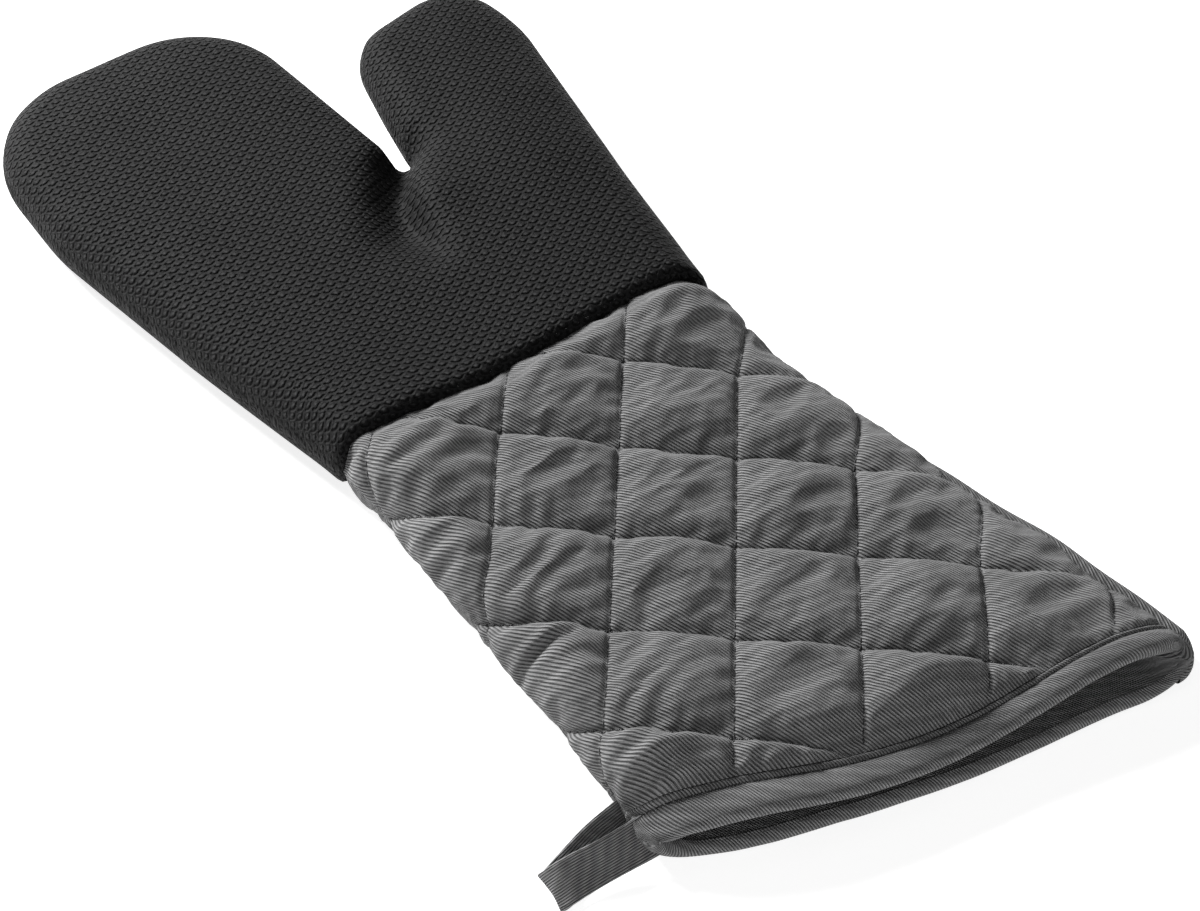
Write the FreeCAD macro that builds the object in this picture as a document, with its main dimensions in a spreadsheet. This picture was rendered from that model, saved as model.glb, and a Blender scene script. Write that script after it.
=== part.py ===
import FreeCAD, Part
import math
import os

import Sketcher

# Long gauntlet oven mitt, lying on its back panel: +Z up, fingers towards +Y, thumb towards +X.
# The design axis runs up the middle of the wrist. Y is 0 on the wrist join, where the moulded
# hand meets the quilted cuff, and Z is 0 on the surface that the mitt lies on. The seam plane,
# where the front and back panels are sewn together, is half a thickness above that surface.

SIZES = {
    # overall
    "halfThickness": 13,        # lying surface to seam plane, and seam plane to the top
    "handLength": 230,          # wrist join to fingertip
    "wristWidth": 148,
    "cuffLeftLength": 164,      # little-finger side of the cuff, wrist join to hem
    "cuffRightLength": 207,     # thumb side
    "hemLeftOut": 80,           # hem corners, out from the design axis
    "hemRightOut": 91,
    # outline of the hand: out from the axis, and up from the wrist join
    "fingerTipOut": 91,
    "fingerTipIn": 21.5,
    "fingerEdgeOut": 96,
    "fingerEdgeUp": 150,
    "crotchOut": 25.7,
    "crotchUp": 97.7,
    "thumbInnerOut": 44,
    "thumbInnerUp": 176,
    "thumbOuterOut": 103,
    "thumbOuterUp": 190,
    "thumbEdgeOut": 105,
    "thumbEdgeUp": 146,
    "fingerOuterRound": 45,
    "fingerInnerRound": 42,
    "thumbInnerRound": 22,
    "thumbOuterRound": 24,
    "crotchRound": 1.8,
    "fingerEdgeRound": 90,
    "thumbEdgeRound": 70,
    "wristRound": 40,
    # layers of the wall, outside to inside
    "edgeRound": 11.5,          # rounding of the panels into the seam
    "shellThick": 2.5,
    "waddingThick": 3.2,
    "liningThick": 0.8,
    "layerGap": 0.1,
    # flex lines of the hand
    "fingerFlexUp": 132,
    "thumbFlexAlong": 22,       # crotch to thumb flex line, along the thumb
    "thumbLean": 14,            # degrees between the thumb and the hand
    "thumbToolStart": 2,        # how far the thumb's flex line runs into the gap at the crotch
    "crotchGapUp": 109,         # lowest point of the gap between finger and thumb
    "flexGap": 0.4,
    # hem
    "hemBandWidth": 11,
    "facingDepth": 28,
    "hemStitchIn": 8.5,
    "threadWidth": 0.9,
    "threadDepth": 0.6,
    "wristStitchUp": 3,
    # quilting
    "quiltCell": 36.7,           # side of a quilted square
    "quiltAngle": 46,           # degrees each side of the wrist direction
    "quiltCrossOut": 1,         # one crossing of the lines, out on the little-finger side
    "quiltCrossDown": 48,       # and down from the wrist join
    # side seam standing out on the thumb side
    "seamLipOut": 3,
    "seamLipHalf": 1.3,
    # hanging loop
    "tapeWidth": 14,
    "tapeThick": 1.6,
    "loopLength": 38,
    "loopEye": 8,
    "loopAlong": 8,             # from the hem corner to the middle of the loop
    "tabOut": 3.5,
    "pivotGap": 0.4,
}

PANELS = (("front", 1), ("back", -1))

doc = FreeCAD.newDocument("oven_mitt")
sheet = doc.addObject("Spreadsheet::Sheet", "Sizes")
for row, (alias, number) in enumerate(SIZES.items(), start=1):
    sheet.set(f"A{row}", alias)
    sheet.set(f"B{row}", str(number))
    sheet.setAlias(f"B{row}", alias)
doc.recompute()


class Size:
    """A number together with the sheet expression that gives it."""

    def __init__(self, number, text):
        self.number = float(number)
        self.text = text

    def joined(self, other, sign, number):
        other = as_size(other)
        return Size(number(self.number, other.number), f"({self.text} {sign} {other.text})")

    def __add__(self, other):
        return self.joined(other, "+", lambda a, b: a + b)

    def __sub__(self, other):
        return self.joined(other, "-", lambda a, b: a - b)

    def __mul__(self, other):
        return self.joined(other, "*", lambda a, b: a * b)

    def __truediv__(self, other):
        return self.joined(other, "/", lambda a, b: a / b)

    def __neg__(self):
        return Size(-self.number, f"(0 - {self.text})")


def as_size(value):
    return value if isinstance(value, Size) else Size(value, repr(float(value)))


class Sizes:
    def __getattr__(self, alias):
        return Size(SIZES[alias], f"Sizes.{alias}")


size = Sizes()
zero = Size(0, "0")


def bind(thing, name, value):
    thing.setExpression(name, as_size(value).text)


def body_plane(body, role):
    return [feature for feature in body.Origin.OriginFeatures if feature.Role == role][0]


def new_body(name):
    body = doc.addObject("PartDesign::Body", name)
    body.Label = name
    return body


def new_sketch(body, name, height=None):
    sketch = body.newObject("Sketcher::SketchObject", f"{body.Name}_{name}")
    sketch.AttachmentSupport = (body_plane(body, "XY_Plane"), [""])
    sketch.MapMode = "FlatFace"
    if height is not None:
        bind(sketch, "AttachmentOffset.Base.z", height)
    return sketch


def meeting_point(point_a, along_a, point_b, along_b):
    cross = along_a.x * along_b.y - along_a.y * along_b.x
    step = point_b - point_a
    reach = (step.x * along_b.y - step.y * along_b.x) / cross
    return point_a + along_a * reach


def draw_outline(sketch, corners, inset=zero):
    """Outline through corners (out, up, round or None), counter-clockwise, moved in by inset.

    The corners are joined by construction lines. The real sides run beside them at the
    inset, and the real arcs have the corner's round less the inset, or more in a hollow.
    """
    count = len(corners)
    places = [FreeCAD.Vector(out.number, up.number, 0) for out, up, _ in corners]
    along = [(places[(i + 1) % count] - places[i]).normalize() for i in range(count)]
    inward = [FreeCAD.Vector(-a.y, a.x, 0) * inset.number for a in along]
    guides = []
    for i in range(count):
        line = Part.LineSegment(places[i], places[(i + 1) % count])
        guides.append(sketch.addGeometry(line, True))
    for i, (out, up, _) in enumerate(corners):
        sketch.addConstraint(Sketcher.Constraint("Coincident", guides[i - 1], 2, guides[i], 1))
        for kind, value in (("DistanceX", out), ("DistanceY", up)):
            index = sketch.addConstraint(
                Sketcher.Constraint(kind, -1, 1, guides[i], 1, value.number))
            if abs(value.number) > 1e-9:
                bind(sketch, f"Constraints[{index}]", value)
    turned, starts, ends = [], [None] * count, [None] * count
    for i, (_, _, radius) in enumerate(corners):
        before, after = along[i - 1], along[i]
        corner = meeting_point(places[i - 1] + inward[i - 1], before, places[i] + inward[i], after)
        if radius is None:
            ends[i - 1], starts[i] = corner, corner
            turned.append(None)
            continue
        turn = math.atan2(before.x * after.y - before.y * after.x, before.dot(after))
        real = radius - inset if turn > 0 else radius + inset
        reach = real.number * math.tan(abs(turn) / 2)
        ends[i - 1] = corner - before * reach
        starts[i] = corner + after * reach
        side = 1 if turn > 0 else -1
        centre = ends[i - 1] + FreeCAD.Vector(-before.y, before.x, 0) * side * real.number
        turned.append((centre, real, side))
    sides = [sketch.addGeometry(Part.LineSegment(starts[i], ends[i]), False) for i in range(count)]
    for i in range(count):
        for end in (1, 2):
            if inset.number > 0:
                index = sketch.addConstraint(
                    Sketcher.Constraint("Distance", sides[i], end, guides[i], inset.number))
                bind(sketch, f"Constraints[{index}]", inset)
            elif turned[(i + end - 1) % count] is not None:
                sketch.addConstraint(
                    Sketcher.Constraint("PointOnObject", sides[i], end, guides[i]))
    for i in range(count):
        if turned[i] is None:
            sketch.addConstraint(
                Sketcher.Constraint("Coincident", sides[i - 1], 2, sides[i], 1))
            if inset.number == 0:
                sketch.addConstraint(
                    Sketcher.Constraint("Coincident", sides[i], 1, guides[i], 1))
            continue
        centre, real, side = turned[i]
        first, last = (ends[i - 1], starts[i]) if side > 0 else (starts[i], ends[i - 1])
        angles = [math.atan2(p.y - centre.y, p.x - centre.x) for p in (first, last)]
        circle = Part.Circle(centre, FreeCAD.Vector(0, 0, 1), real.number)
        arc = sketch.addGeometry(Part.ArcOfCircle(circle, angles[0], angles[1]), False)
        enters, leaves = (1, 2) if side > 0 else (2, 1)
        sketch.addConstraint(Sketcher.Constraint("Tangent", sides[i - 1], 2, arc, enters))
        sketch.addConstraint(Sketcher.Constraint("Tangent", arc, leaves, sides[i], 1))
        index = sketch.addConstraint(Sketcher.Constraint("Radius", arc, real.number))
        bind(sketch, f"Constraints[{index}]", real)
    return sketch


def pad(body, sketch, height, side):
    feature = body.newObject("PartDesign::Pad", f"{sketch.Name}_pad")
    feature.Profile = sketch
    bind(feature, "Length", height)
    feature.Reversed = side < 0
    sketch.Visibility = False
    doc.recompute()
    return feature


def round_edges(body, feature, radius, height, sides_only):
    """Round the edges of a feature that lie at one height."""
    names = []
    for index, edge in enumerate(feature.Shape.Edges, start=1):
        level = all(abs(vertex.Z - height) < 1e-4 for vertex in edge.Vertexes)
        xs = [vertex.X for vertex in edge.Vertexes]
        if level and (not sides_only or min(xs) * max(xs) > 0):
            names.append(f"Edge{index}")
    rounding = body.newObject("PartDesign::Fillet", f"{feature.Name}_round")
    rounding.Base = (feature, names)
    bind(rounding, "Radius", radius)
    doc.recompute()


def block(name, corners, side, depth, inset=zero, sides_only=False):
    """One panel's full block, this deep below the outside of the wall, rounded into the seam."""
    body = new_body(name)
    outline = draw_outline(new_sketch(body, "outline"), corners, inset)
    height = size.halfThickness - depth
    padded = pad(body, outline, height, side)
    round_edges(body, padded, size.edgeRound - depth, side * height.number, sides_only)
    return body


def plate(name, corners, low, thick, inset=zero):
    """A flat plate between two heights, measured from the seam plane."""
    body = new_body(name)
    pad(body, draw_outline(new_sketch(body, "outline", low), corners, inset), thick, 1)
    return body


def boolean(kind, name, shapes):
    """Part::Cut of a base and a tool, or Part::MultiFuse and Part::MultiCommon of a list."""
    result = doc.addObject(kind, name)
    result.Label = name
    if kind == "Part::Cut":
        result.Base, result.Tool = shapes
    else:
        result.Shapes = shapes
    doc.recompute()
    return result


def box(name, low, extent):
    solid = doc.addObject("Part::Box", name)
    for axis, value in zip("xyz", low):
        bind(solid, f"Placement.Base.{axis}", value)
    for side_name, value in zip(("Length", "Width", "Height"), extent):
        bind(solid, side_name, value)
    return solid


nodes = {}


def keep(name, shape):
    shape.Label = name
    nodes[name] = shape
    return shape


def wall_depths():
    """Where each layer starts and ends, below the outside of the wall."""
    shell_end = size.shellThick
    wadding_start = shell_end + size.layerGap
    wadding_end = wadding_start + size.waddingThick
    lining_start = wadding_end + size.layerGap
    return {
        "shell": (zero, shell_end),
        "wadding": (wadding_start, wadding_end),
        "lining": (lining_start, lining_start + size.liningThick),
    }


LAYERS = ("shell", "wadding", "lining")
DEPTHS = wall_depths()
WALL = DEPTHS["lining"][1]
REACH = size.handLength * 2     # longer than any piece, for cutting tools


# hand: three layers in a front and a back panel, drawn past the wrist join and trimmed there
def hand_corners():
    half_wrist = size.wristWidth / 2
    past = -(size.wristRound + size.halfThickness)
    return [
        (half_wrist, past, None),
        (half_wrist, zero, size.wristRound),
        (size.thumbEdgeOut, size.thumbEdgeUp, size.thumbEdgeRound),
        (size.thumbOuterOut, size.thumbOuterUp, size.thumbOuterRound),
        (size.thumbInnerOut, size.thumbInnerUp, size.thumbInnerRound),
        (size.crotchOut, size.crotchUp, size.crotchRound),
        (size.fingerTipIn, size.handLength, size.fingerInnerRound),
        (-size.fingerTipOut, size.handLength, size.fingerOuterRound),
        (-size.fingerEdgeOut, size.fingerEdgeUp, size.fingerEdgeRound),
        (-half_wrist, zero, size.wristRound),
        (-half_wrist, past, None),
    ]


def hand_layer(layer, panel, side):
    start, end = DEPTHS[layer]
    outer = block(f"{layer}_{panel}_outer", hand_corners(), side, start, start)
    inner = block(f"{layer}_{panel}_inner", hand_corners(), side, end, end)
    return boolean("Part::Cut", f"whole_{layer}_{panel}", [outer, inner])


# A flex line is a hinge across the hand in the seam plane. The far side of it ends in a drum
# of half the mitt's thickness, round the hinge. The near side ends in a hollow round that
# drum in the back panel, and straight in front of it in the front panel, so that the far
# side can fold up over the palm.
def flex_tools(name, out, up, lean, start, length):
    frame = FreeCAD.Placement(
        FreeCAD.Vector(out.number, up.number, 0),
        FreeCAD.Rotation(FreeCAD.Vector(0, 0, 1), lean.number))
    across = FreeCAD.Rotation(FreeCAD.Vector(0, 1, 0), 90)

    def beyond(label, before):
        solid = doc.addObject("Part::Box", f"{name}_{label}")
        bind(solid, "Length", length)
        bind(solid, "Width", REACH)
        bind(solid, "Height", size.halfThickness * 4)
        corner = FreeCAD.Vector(start.number, -before.number, -2 * size.halfThickness.number)
        solid.Placement = frame.multiply(FreeCAD.Placement(corner, FreeCAD.Rotation()))
        return solid

    def drum(label, radius):
        solid = doc.addObject("Part::Cylinder", f"{name}_{label}")
        bind(solid, "Radius", radius)
        bind(solid, "Height", length)
        corner = FreeCAD.Vector(start.number, 0, 0)
        solid.Placement = frame.multiply(FreeCAD.Placement(corner, across))
        return solid

    radius = size.halfThickness
    cleared = radius + size.flexGap
    far = beyond("far", zero)
    return {
        "keep": boolean("Part::MultiFuse", f"{name}_keep", [far, drum("drum", radius)]),
        "front": beyond("front", cleared),
        "back": boolean("Part::MultiFuse", f"{name}_back", [far, drum("socket", cleared)]),
    }


def build_hand():
    finger_side = size.crotchOut + size.crotchRound
    finger_tools = flex_tools("finger", -size.fingerEdgeOut * 1.2, size.fingerFlexUp, zero,
                              zero, size.fingerEdgeOut * 1.2 + finger_side)
    lean = math.radians(SIZES["thumbLean"])
    thumb_out = size.crotchOut + size.thumbFlexAlong * math.sin(lean)
    thumb_up = size.crotchGapUp + size.thumbFlexAlong * math.cos(lean)
    thumb_tools = flex_tools("thumb", thumb_out, thumb_up, -size.thumbLean,
                             -size.thumbToolStart, size.thumbOuterOut)
    below_wrist = box("below_wrist", (-REACH, -REACH, -REACH), (REACH * 2, REACH, REACH * 2))
    lower_edge = box("wrist_stitch_line",
                     (-REACH, size.wristStitchUp, -size.halfThickness),
                     (REACH * 2, size.threadWidth, size.halfThickness * 2))
    inside = box("under_wrist_stitch",
                 (-REACH, zero, -(size.halfThickness - size.threadDepth)),
                 (REACH * 2, REACH, (size.halfThickness - size.threadDepth) * 2))
    stitch_line = boolean("Part::Cut", "wrist_stitch_groove", [lower_edge, inside])
    for panel, side in PANELS:
        near = boolean("Part::MultiFuse", f"not_palm_{panel}",
                       [finger_tools[panel], thumb_tools[panel], below_wrist])
        for layer in LAYERS:
            whole = hand_layer(layer, panel, side)
            palm = boolean("Part::Cut", f"palm_{layer}_{panel}", [whole, near])
            if layer == "shell":
                keep(f"wrist_stitch_{panel}", boolean(
                    "Part::MultiCommon", f"wrist_stitch_{panel}", [palm, stitch_line]))
                palm.Label = f"whole_palm_{panel}"
                palm = boolean("Part::Cut", f"palm_shell_{panel}_sewn", [palm, stitch_line])
            keep(f"palm_{layer}_{panel}", palm)
            for zone, tools in (("finger", finger_tools), ("thumb", thumb_tools)):
                keep(f"{zone}_{layer}_{panel}", boolean(
                    "Part::MultiCommon", f"{zone}_{layer}_{panel}", [whole, tools["keep"]]))


# cuff: its two sides have different lengths, so the hem runs aslant
def cuff_corners(low, high=None, inset=zero, past=zero):
    """Four corners of a stretch of the cuff, from low to high above the hem or the join."""
    ends = []
    for level, beyond in ((low, -past), (high, past)):
        pair = []
        for sign, hem_out, length in ((-1, size.hemLeftOut, size.cuffLeftLength),
                                      (1, size.hemRightOut, size.cuffRightLength)):
            along = (length if level is None else level) + beyond
            out = hem_out + (size.wristWidth / 2 - hem_out) * along / length
            pair.append((out * sign, along - length))
        (left_out, left_up), (right_out, right_up) = pair
        rise = (right_up - left_up) / (right_out - left_out) * inset
        ends.append([(left_out + inset, left_up + rise, None),
                     (right_out - inset, right_up - rise, None)])
    (low_left, low_right), (high_left, high_right) = ends
    return [low_left, low_right, high_right, high_left]


def cuff_layer(name, side, start, end, low, high=None):
    """A stretch of one layer of the cuff's wall, open at both ends."""
    outer = block(f"{name}_outer", cuff_corners(low, high, start), side, start, sides_only=True)
    inner = block(f"{name}_inner", cuff_corners(low, high, end, size.hemBandWidth), side, end,
                  sides_only=True)
    return boolean("Part::Cut", name, [outer, inner])


def quilt_lines(panel, side):
    """Both families of quilting lines, as ribs that reach into the outside of the shell."""
    top = size.halfThickness - size.threadDepth
    low = top if side > 0 else -(top + size.threadDepth * 4)
    families = []
    for turn, sign in (("rising", 1), ("falling", -1)):
        lines = []
        for number in range(-size_count(), size_count() + 1):
            lines.append(box(f"quilt_{panel}_{turn}_{number + size_count()}",
                             (-REACH, size.quiltCell * number - size.threadWidth / 2, low),
                             (REACH * 2, size.threadWidth, size.threadDepth * 4)))
        family = boolean("Part::MultiFuse", f"quilt_{panel}_{turn}", lines)
        family.Placement = FreeCAD.Placement(
            FreeCAD.Vector(-SIZES["quiltCrossOut"], -SIZES["quiltCrossDown"], 0),
            FreeCAD.Rotation(FreeCAD.Vector(0, 0, 1), sign * SIZES["quiltAngle"]))
        families.append(family)
    return boolean("Part::MultiFuse", f"quilt_lines_{panel}", families)


def size_count():
    """Quilting lines each side of the middle one that still cross the cuff."""
    longest = max(SIZES["cuffLeftLength"], SIZES["cuffRightLength"])
    return math.ceil(longest / SIZES["quiltCell"] * 0.9)


def sewn(name, thread_name, cloth, line):
    """Sink a line of thread into the face of a cloth, and keep both pieces."""
    keep(thread_name, boolean("Part::MultiCommon", thread_name, [cloth, line]))
    keep(name, boolean("Part::Cut", f"{name}_sewn", [cloth, line]))


def build_cuff():
    shell, wadding, lining = (DEPTHS[layer] for layer in LAYERS)
    top = size.halfThickness - size.threadDepth
    for panel, side in PANELS:
        cloth = cuff_layer(f"cuff_cloth_{panel}", side, *shell, size.hemBandWidth)
        sewn(f"cuff_shell_{panel}", f"quilting_thread_{panel}", cloth, quilt_lines(panel, side))
        keep(f"cuff_wadding_{panel}", cuff_layer(
            f"cuff_wadding_{panel}", side, *wadding, size.hemBandWidth))
        keep(f"cuff_lining_{panel}", cuff_layer(
            f"cuff_lining_{panel}", side, *lining, size.facingDepth))
        keep(f"hem_facing_{panel}", cuff_layer(
            f"hem_facing_{panel}", side, *lining, size.hemBandWidth, size.facingDepth))
        fold = cuff_layer(f"hem_fold_{panel}", side, zero, WALL, zero, size.hemBandWidth)
        half = size.threadWidth / 2
        line = plate(f"hem_line_{panel}",
                     cuff_corners(size.hemStitchIn - half, size.hemStitchIn + half,
                                  -size.threadWidth),
                     top if side > 0 else -(top + size.threadDepth * 4), size.threadDepth * 4)
        sewn(f"hem_band_{panel}", f"hem_stitch_{panel}", fold, line)


def build_seam_lip():
    low_left, low_right, high_right, high_left = cuff_corners(zero)
    out_low = (low_right[0] + size.seamLipOut, low_right[1], None)
    out_high = (high_right[0] + size.seamLipOut / 3, high_right[1], None)
    corners = [low_right, out_low, out_high, high_right]
    keep("side_seam_lip", plate("side_seam_lip", corners, -size.seamLipHalf,
                                size.seamLipHalf * 2))


# hanging loop: a tape lying flat and folded in half, which swings up about its sewn end
def loop_pivot():
    wall = (size.hemLeftOut
            + (size.wristWidth / 2 - size.hemLeftOut) * size.loopAlong / size.cuffLeftLength)
    half = size.loopEye / 2 + size.tapeThick
    return -(wall + size.tabOut + size.pivotGap + half), size.loopAlong - size.cuffLeftLength


def on_edge(body, up):
    """Turn a plate drawn flat so that its thickness runs across the tape, at the loop."""
    body.Placement = FreeCAD.Placement(
        FreeCAD.Vector(0, up.number, 0), FreeCAD.Rotation(FreeCAD.Vector(1, 0, 0), 90))
    return body


def build_loop():
    out, up = loop_pivot()
    half = size.loopEye / 2 + size.tapeThick
    low = -size.tapeWidth / 2
    end = out - size.loopLength + half * 2
    nearly = half - size.pivotGap / 4
    ring = [
        (end - half, half, nearly),
        (end - half, -half, nearly),
        (out + half, -half, nearly),
        (out + half, half, nearly),
    ]
    tape = on_edge(plate("loop_block", ring, low, size.tapeWidth), up)
    eye = on_edge(plate("loop_hollow", ring, low - size.tapeThick,
                        size.tapeWidth + size.tapeThick * 2, size.tapeThick), up)
    keep("hanging_loop", boolean("Part::Cut", "hanging_loop", [tape, eye]))
    half_tab = size.tapeThick * 2
    left = cuff_corners(size.loopAlong + low, size.loopAlong - low)
    (low_out, low_up, _), (high_out, high_up, _) = left[0], left[3]
    face = out + half + size.pivotGap
    corners = [(face, low_up, None), (low_out, low_up, None), (high_out, high_up, None),
               (face, high_up, None)]
    keep("loop_tab", plate("loop_tab", corners, -half_tab, half_tab * 2))


def finish():
    """Stand the mitt on Z 0 with its outer box centred on the origin, check it and write it."""
    whole = Part.makeCompound([shape.Shape for shape in nodes.values()])
    bounds = whole.optimalBoundingBox(False, False)
    middle = bounds.Center
    shift = FreeCAD.Vector(-middle.x, -middle.y, -bounds.ZMin)
    for shape in nodes.values():
        shape.Placement = FreeCAD.Placement(shift, FreeCAD.Rotation()).multiply(shape.Placement)
    doc.recompute()
    for thing in doc.Objects:
        if "Invalid" in thing.State or "Error" in thing.State:
            raise RuntimeError(f"{thing.Name} failed: {thing.State}")
    os.makedirs("parts", exist_ok=True)
    for name, shape in nodes.items():
        if shape.Shape.isNull() or not shape.Shape.isValid() or not shape.Shape.Solids:
            raise RuntimeError(f"{name} has no valid solid")
        shape.Shape.exportStep(f"parts/{name}.step")
        print(f"{name:26s} {len(shape.Shape.Solids):3d} solids {shape.Shape.Volume / 1000:9.3f} cm3")
    print(f"origin moved by {shift.x:.3f} {shift.y:.3f} {shift.z:.3f}")
    print(f"box {bounds.XLength:.2f} x {bounds.YLength:.2f} x {bounds.ZLength:.2f}")


build_hand()
build_cuff()
build_seam_lip()
build_loop()
finish()
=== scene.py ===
import bmesh
import bpy
import math
import random
import numpy as np
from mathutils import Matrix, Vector, bvhtree, geometry, kdtree


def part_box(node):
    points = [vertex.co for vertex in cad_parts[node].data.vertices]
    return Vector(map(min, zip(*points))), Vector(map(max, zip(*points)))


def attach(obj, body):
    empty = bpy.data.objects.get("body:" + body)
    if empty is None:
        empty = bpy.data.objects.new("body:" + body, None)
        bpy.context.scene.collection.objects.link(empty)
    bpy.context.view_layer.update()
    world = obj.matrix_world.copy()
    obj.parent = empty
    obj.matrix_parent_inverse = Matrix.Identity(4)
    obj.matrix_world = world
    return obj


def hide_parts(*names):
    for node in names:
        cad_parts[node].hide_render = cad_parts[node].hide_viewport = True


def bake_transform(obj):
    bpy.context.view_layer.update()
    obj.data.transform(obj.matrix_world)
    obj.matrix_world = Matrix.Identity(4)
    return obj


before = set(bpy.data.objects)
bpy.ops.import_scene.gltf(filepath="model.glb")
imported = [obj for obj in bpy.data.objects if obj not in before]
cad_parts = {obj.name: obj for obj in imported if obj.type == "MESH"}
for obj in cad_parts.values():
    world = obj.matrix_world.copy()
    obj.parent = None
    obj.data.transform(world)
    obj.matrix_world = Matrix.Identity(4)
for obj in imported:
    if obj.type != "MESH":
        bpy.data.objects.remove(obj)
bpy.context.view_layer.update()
print("frame loaded")

# Lengths below are millimetres in the mitt's own drawing: x out from the middle of the wrist
# (thumb side plus), y up from the join of hand and cuff, z above the seam plane.
mm = 0.001
wristLow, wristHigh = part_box("wrist_stitch_front")
palmLow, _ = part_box("palm_shell_front")
axisX = (wristLow.x + wristHigh.x) / 2 / mm
joinY = palmLow.y / mm
seamZ = palmLow.z / mm
lying = 0.35 - seamZ          # lowest that the cloth goes, just above the surface


def toFrame(points):
    return (np.asarray(points, float) + np.array([axisX, joinY, seamZ])) * mm


def smooth(low, high, value):
    t = np.clip((value - low) / (high - low), 0, 1)
    return t * t * (3 - 2 * t)


# soft bumps between about -1 and 1, from a few crossing sine waves
def waves(x, y, seed, size, layers=3):
    rng = random.Random(seed)
    total = np.zeros_like(x, dtype=float)
    for layer in range(layers * 3):
        angle = rng.uniform(0, 2 * math.pi)
        length = size * rng.uniform(0.7, 1.6) / (1 + layer // 3 * 0.8)
        phase = rng.uniform(0, 2 * math.pi)
        along = (x * math.cos(angle) + y * math.sin(angle)) / length
        total += np.sin(2 * math.pi * along + phase) / (1 + layer // 3)
    return total / (layers * 1.4)


# a smooth line through a few (x, value) places
def through(x, *places):
    xs, values = np.array(places, float).T
    i = np.clip(np.searchsorted(xs, x) - 1, 0, len(xs) - 2)
    t = np.clip((x - xs[i]) / (xs[i + 1] - xs[i]), 0, 1)
    slopes = np.gradient(values, xs)
    slopes[[0, -1]] = 0
    gap = xs[i + 1] - xs[i]
    return ((1 + 2 * t) * (1 - t) ** 2 * values[i] + t * (1 - t) ** 2 * gap * slopes[i]
            + t * t * (3 - 2 * t) * values[i + 1] + t * t * (t - 1) * gap * slopes[i + 1])


# meshes

def makeMesh(name, points, faces, uv=None):
    points = np.array(points, float)
    points[:, 2] = np.maximum(points[:, 2], 0.04 - seamZ)      # nothing under the surface it lies on
    data = bpy.data.meshes.new(name)
    data.from_pydata([tuple(p) for p in toFrame(points)], [], [tuple(int(i) for i in f) for f in faces])
    data.validate()
    if uv is not None:
        layer = data.uv_layers.new(name="cloth")
        loops = np.empty(len(data.loops), np.int32)
        data.loops.foreach_get("vertex_index", loops)
        layer.data.foreach_set("uv", (np.asarray(uv)[loops] * mm).astype(np.float32).ravel())
    data.polygons.foreach_set("use_smooth", [True] * len(data.polygons))
    piece = bpy.data.objects.new(name, data)
    bpy.context.scene.collection.objects.link(piece)
    return piece


# squares between rings of points
def ringFaces(rows, columns):
    faces = []
    for r in range(rows - 1):
        for c in range(columns):
            n = (c + 1) % columns
            faces.append((r * columns + c, r * columns + n, (r + 1) * columns + n, (r + 1) * columns + c))
    return faces


# triangles inside a closed border, through the inner points
def triangulate(border, inner):
    points = [Vector((float(x), float(y))) for x, y in np.vstack([border, inner])]
    loop = list(range(len(border)))
    found = geometry.delaunay_2d_cdt(points, [], [loop], 1, 1e-5)
    flat = np.array([(p.x, p.y) for p in found[0]])
    return flat, np.array([f for f in found[2] if len(f) == 3])


def finishPiece(piece, body, material, slot, *nodes):
    piece.data.materials.append(material)
    if body:
        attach(piece, body)
    if nodes:
        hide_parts(*nodes)
    return piece


# outline of the hand: corners (x, y, rounding), from the wrist up the thumb side and round

handCut = {
    "corners": [
        (72.3, -30, 0), (72.3, 0, 40), (104.4, 142, 70), (99.4, 181.8, 24), (43.6, 172.4, 22),
        (34.0, 138, 80), (24.3, 98, 1.8), (17.2, 219.4, 42), (-92.2, 221.8, 43), (-95.8, 150, 90),
        (-86.6, 78, 200), (-74.2, 0, 40), (-74.2, -30, 0),
    ],
    "round": 13.0,        # rounding of each panel into the seam
    "height": 12.4,       # seam plane to the top of the panel
    "swell": 1.5,
    "crease": ((50, 2.0), (60, 3.5), (70, 5.0), (80, 6.9), (91, 10.4), (107, 23.6), (113, 28.6), (120, 34)),
    "creaseDepth": 8.8, "creaseWide": (9.6, 4.2),
    "creaseSquare": 0.8,      # the crease leans, so less of a step in x is across it
    "valley": (24, 107), "valleyLean": 0.78, "valleyDepth": 3.2, "valleyWide": 9.5,
    "valleySquare": 0.79,
    # two swellings, at the crease's foot and at the ball of the thumb: middle, reach and height
    "foot": (18, 82, 10, 12, 1.6), "ball": (52, 78, 26, 30, 1.8),
    "uneven": 0.5,
    "spacing": 2.1,
}


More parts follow.
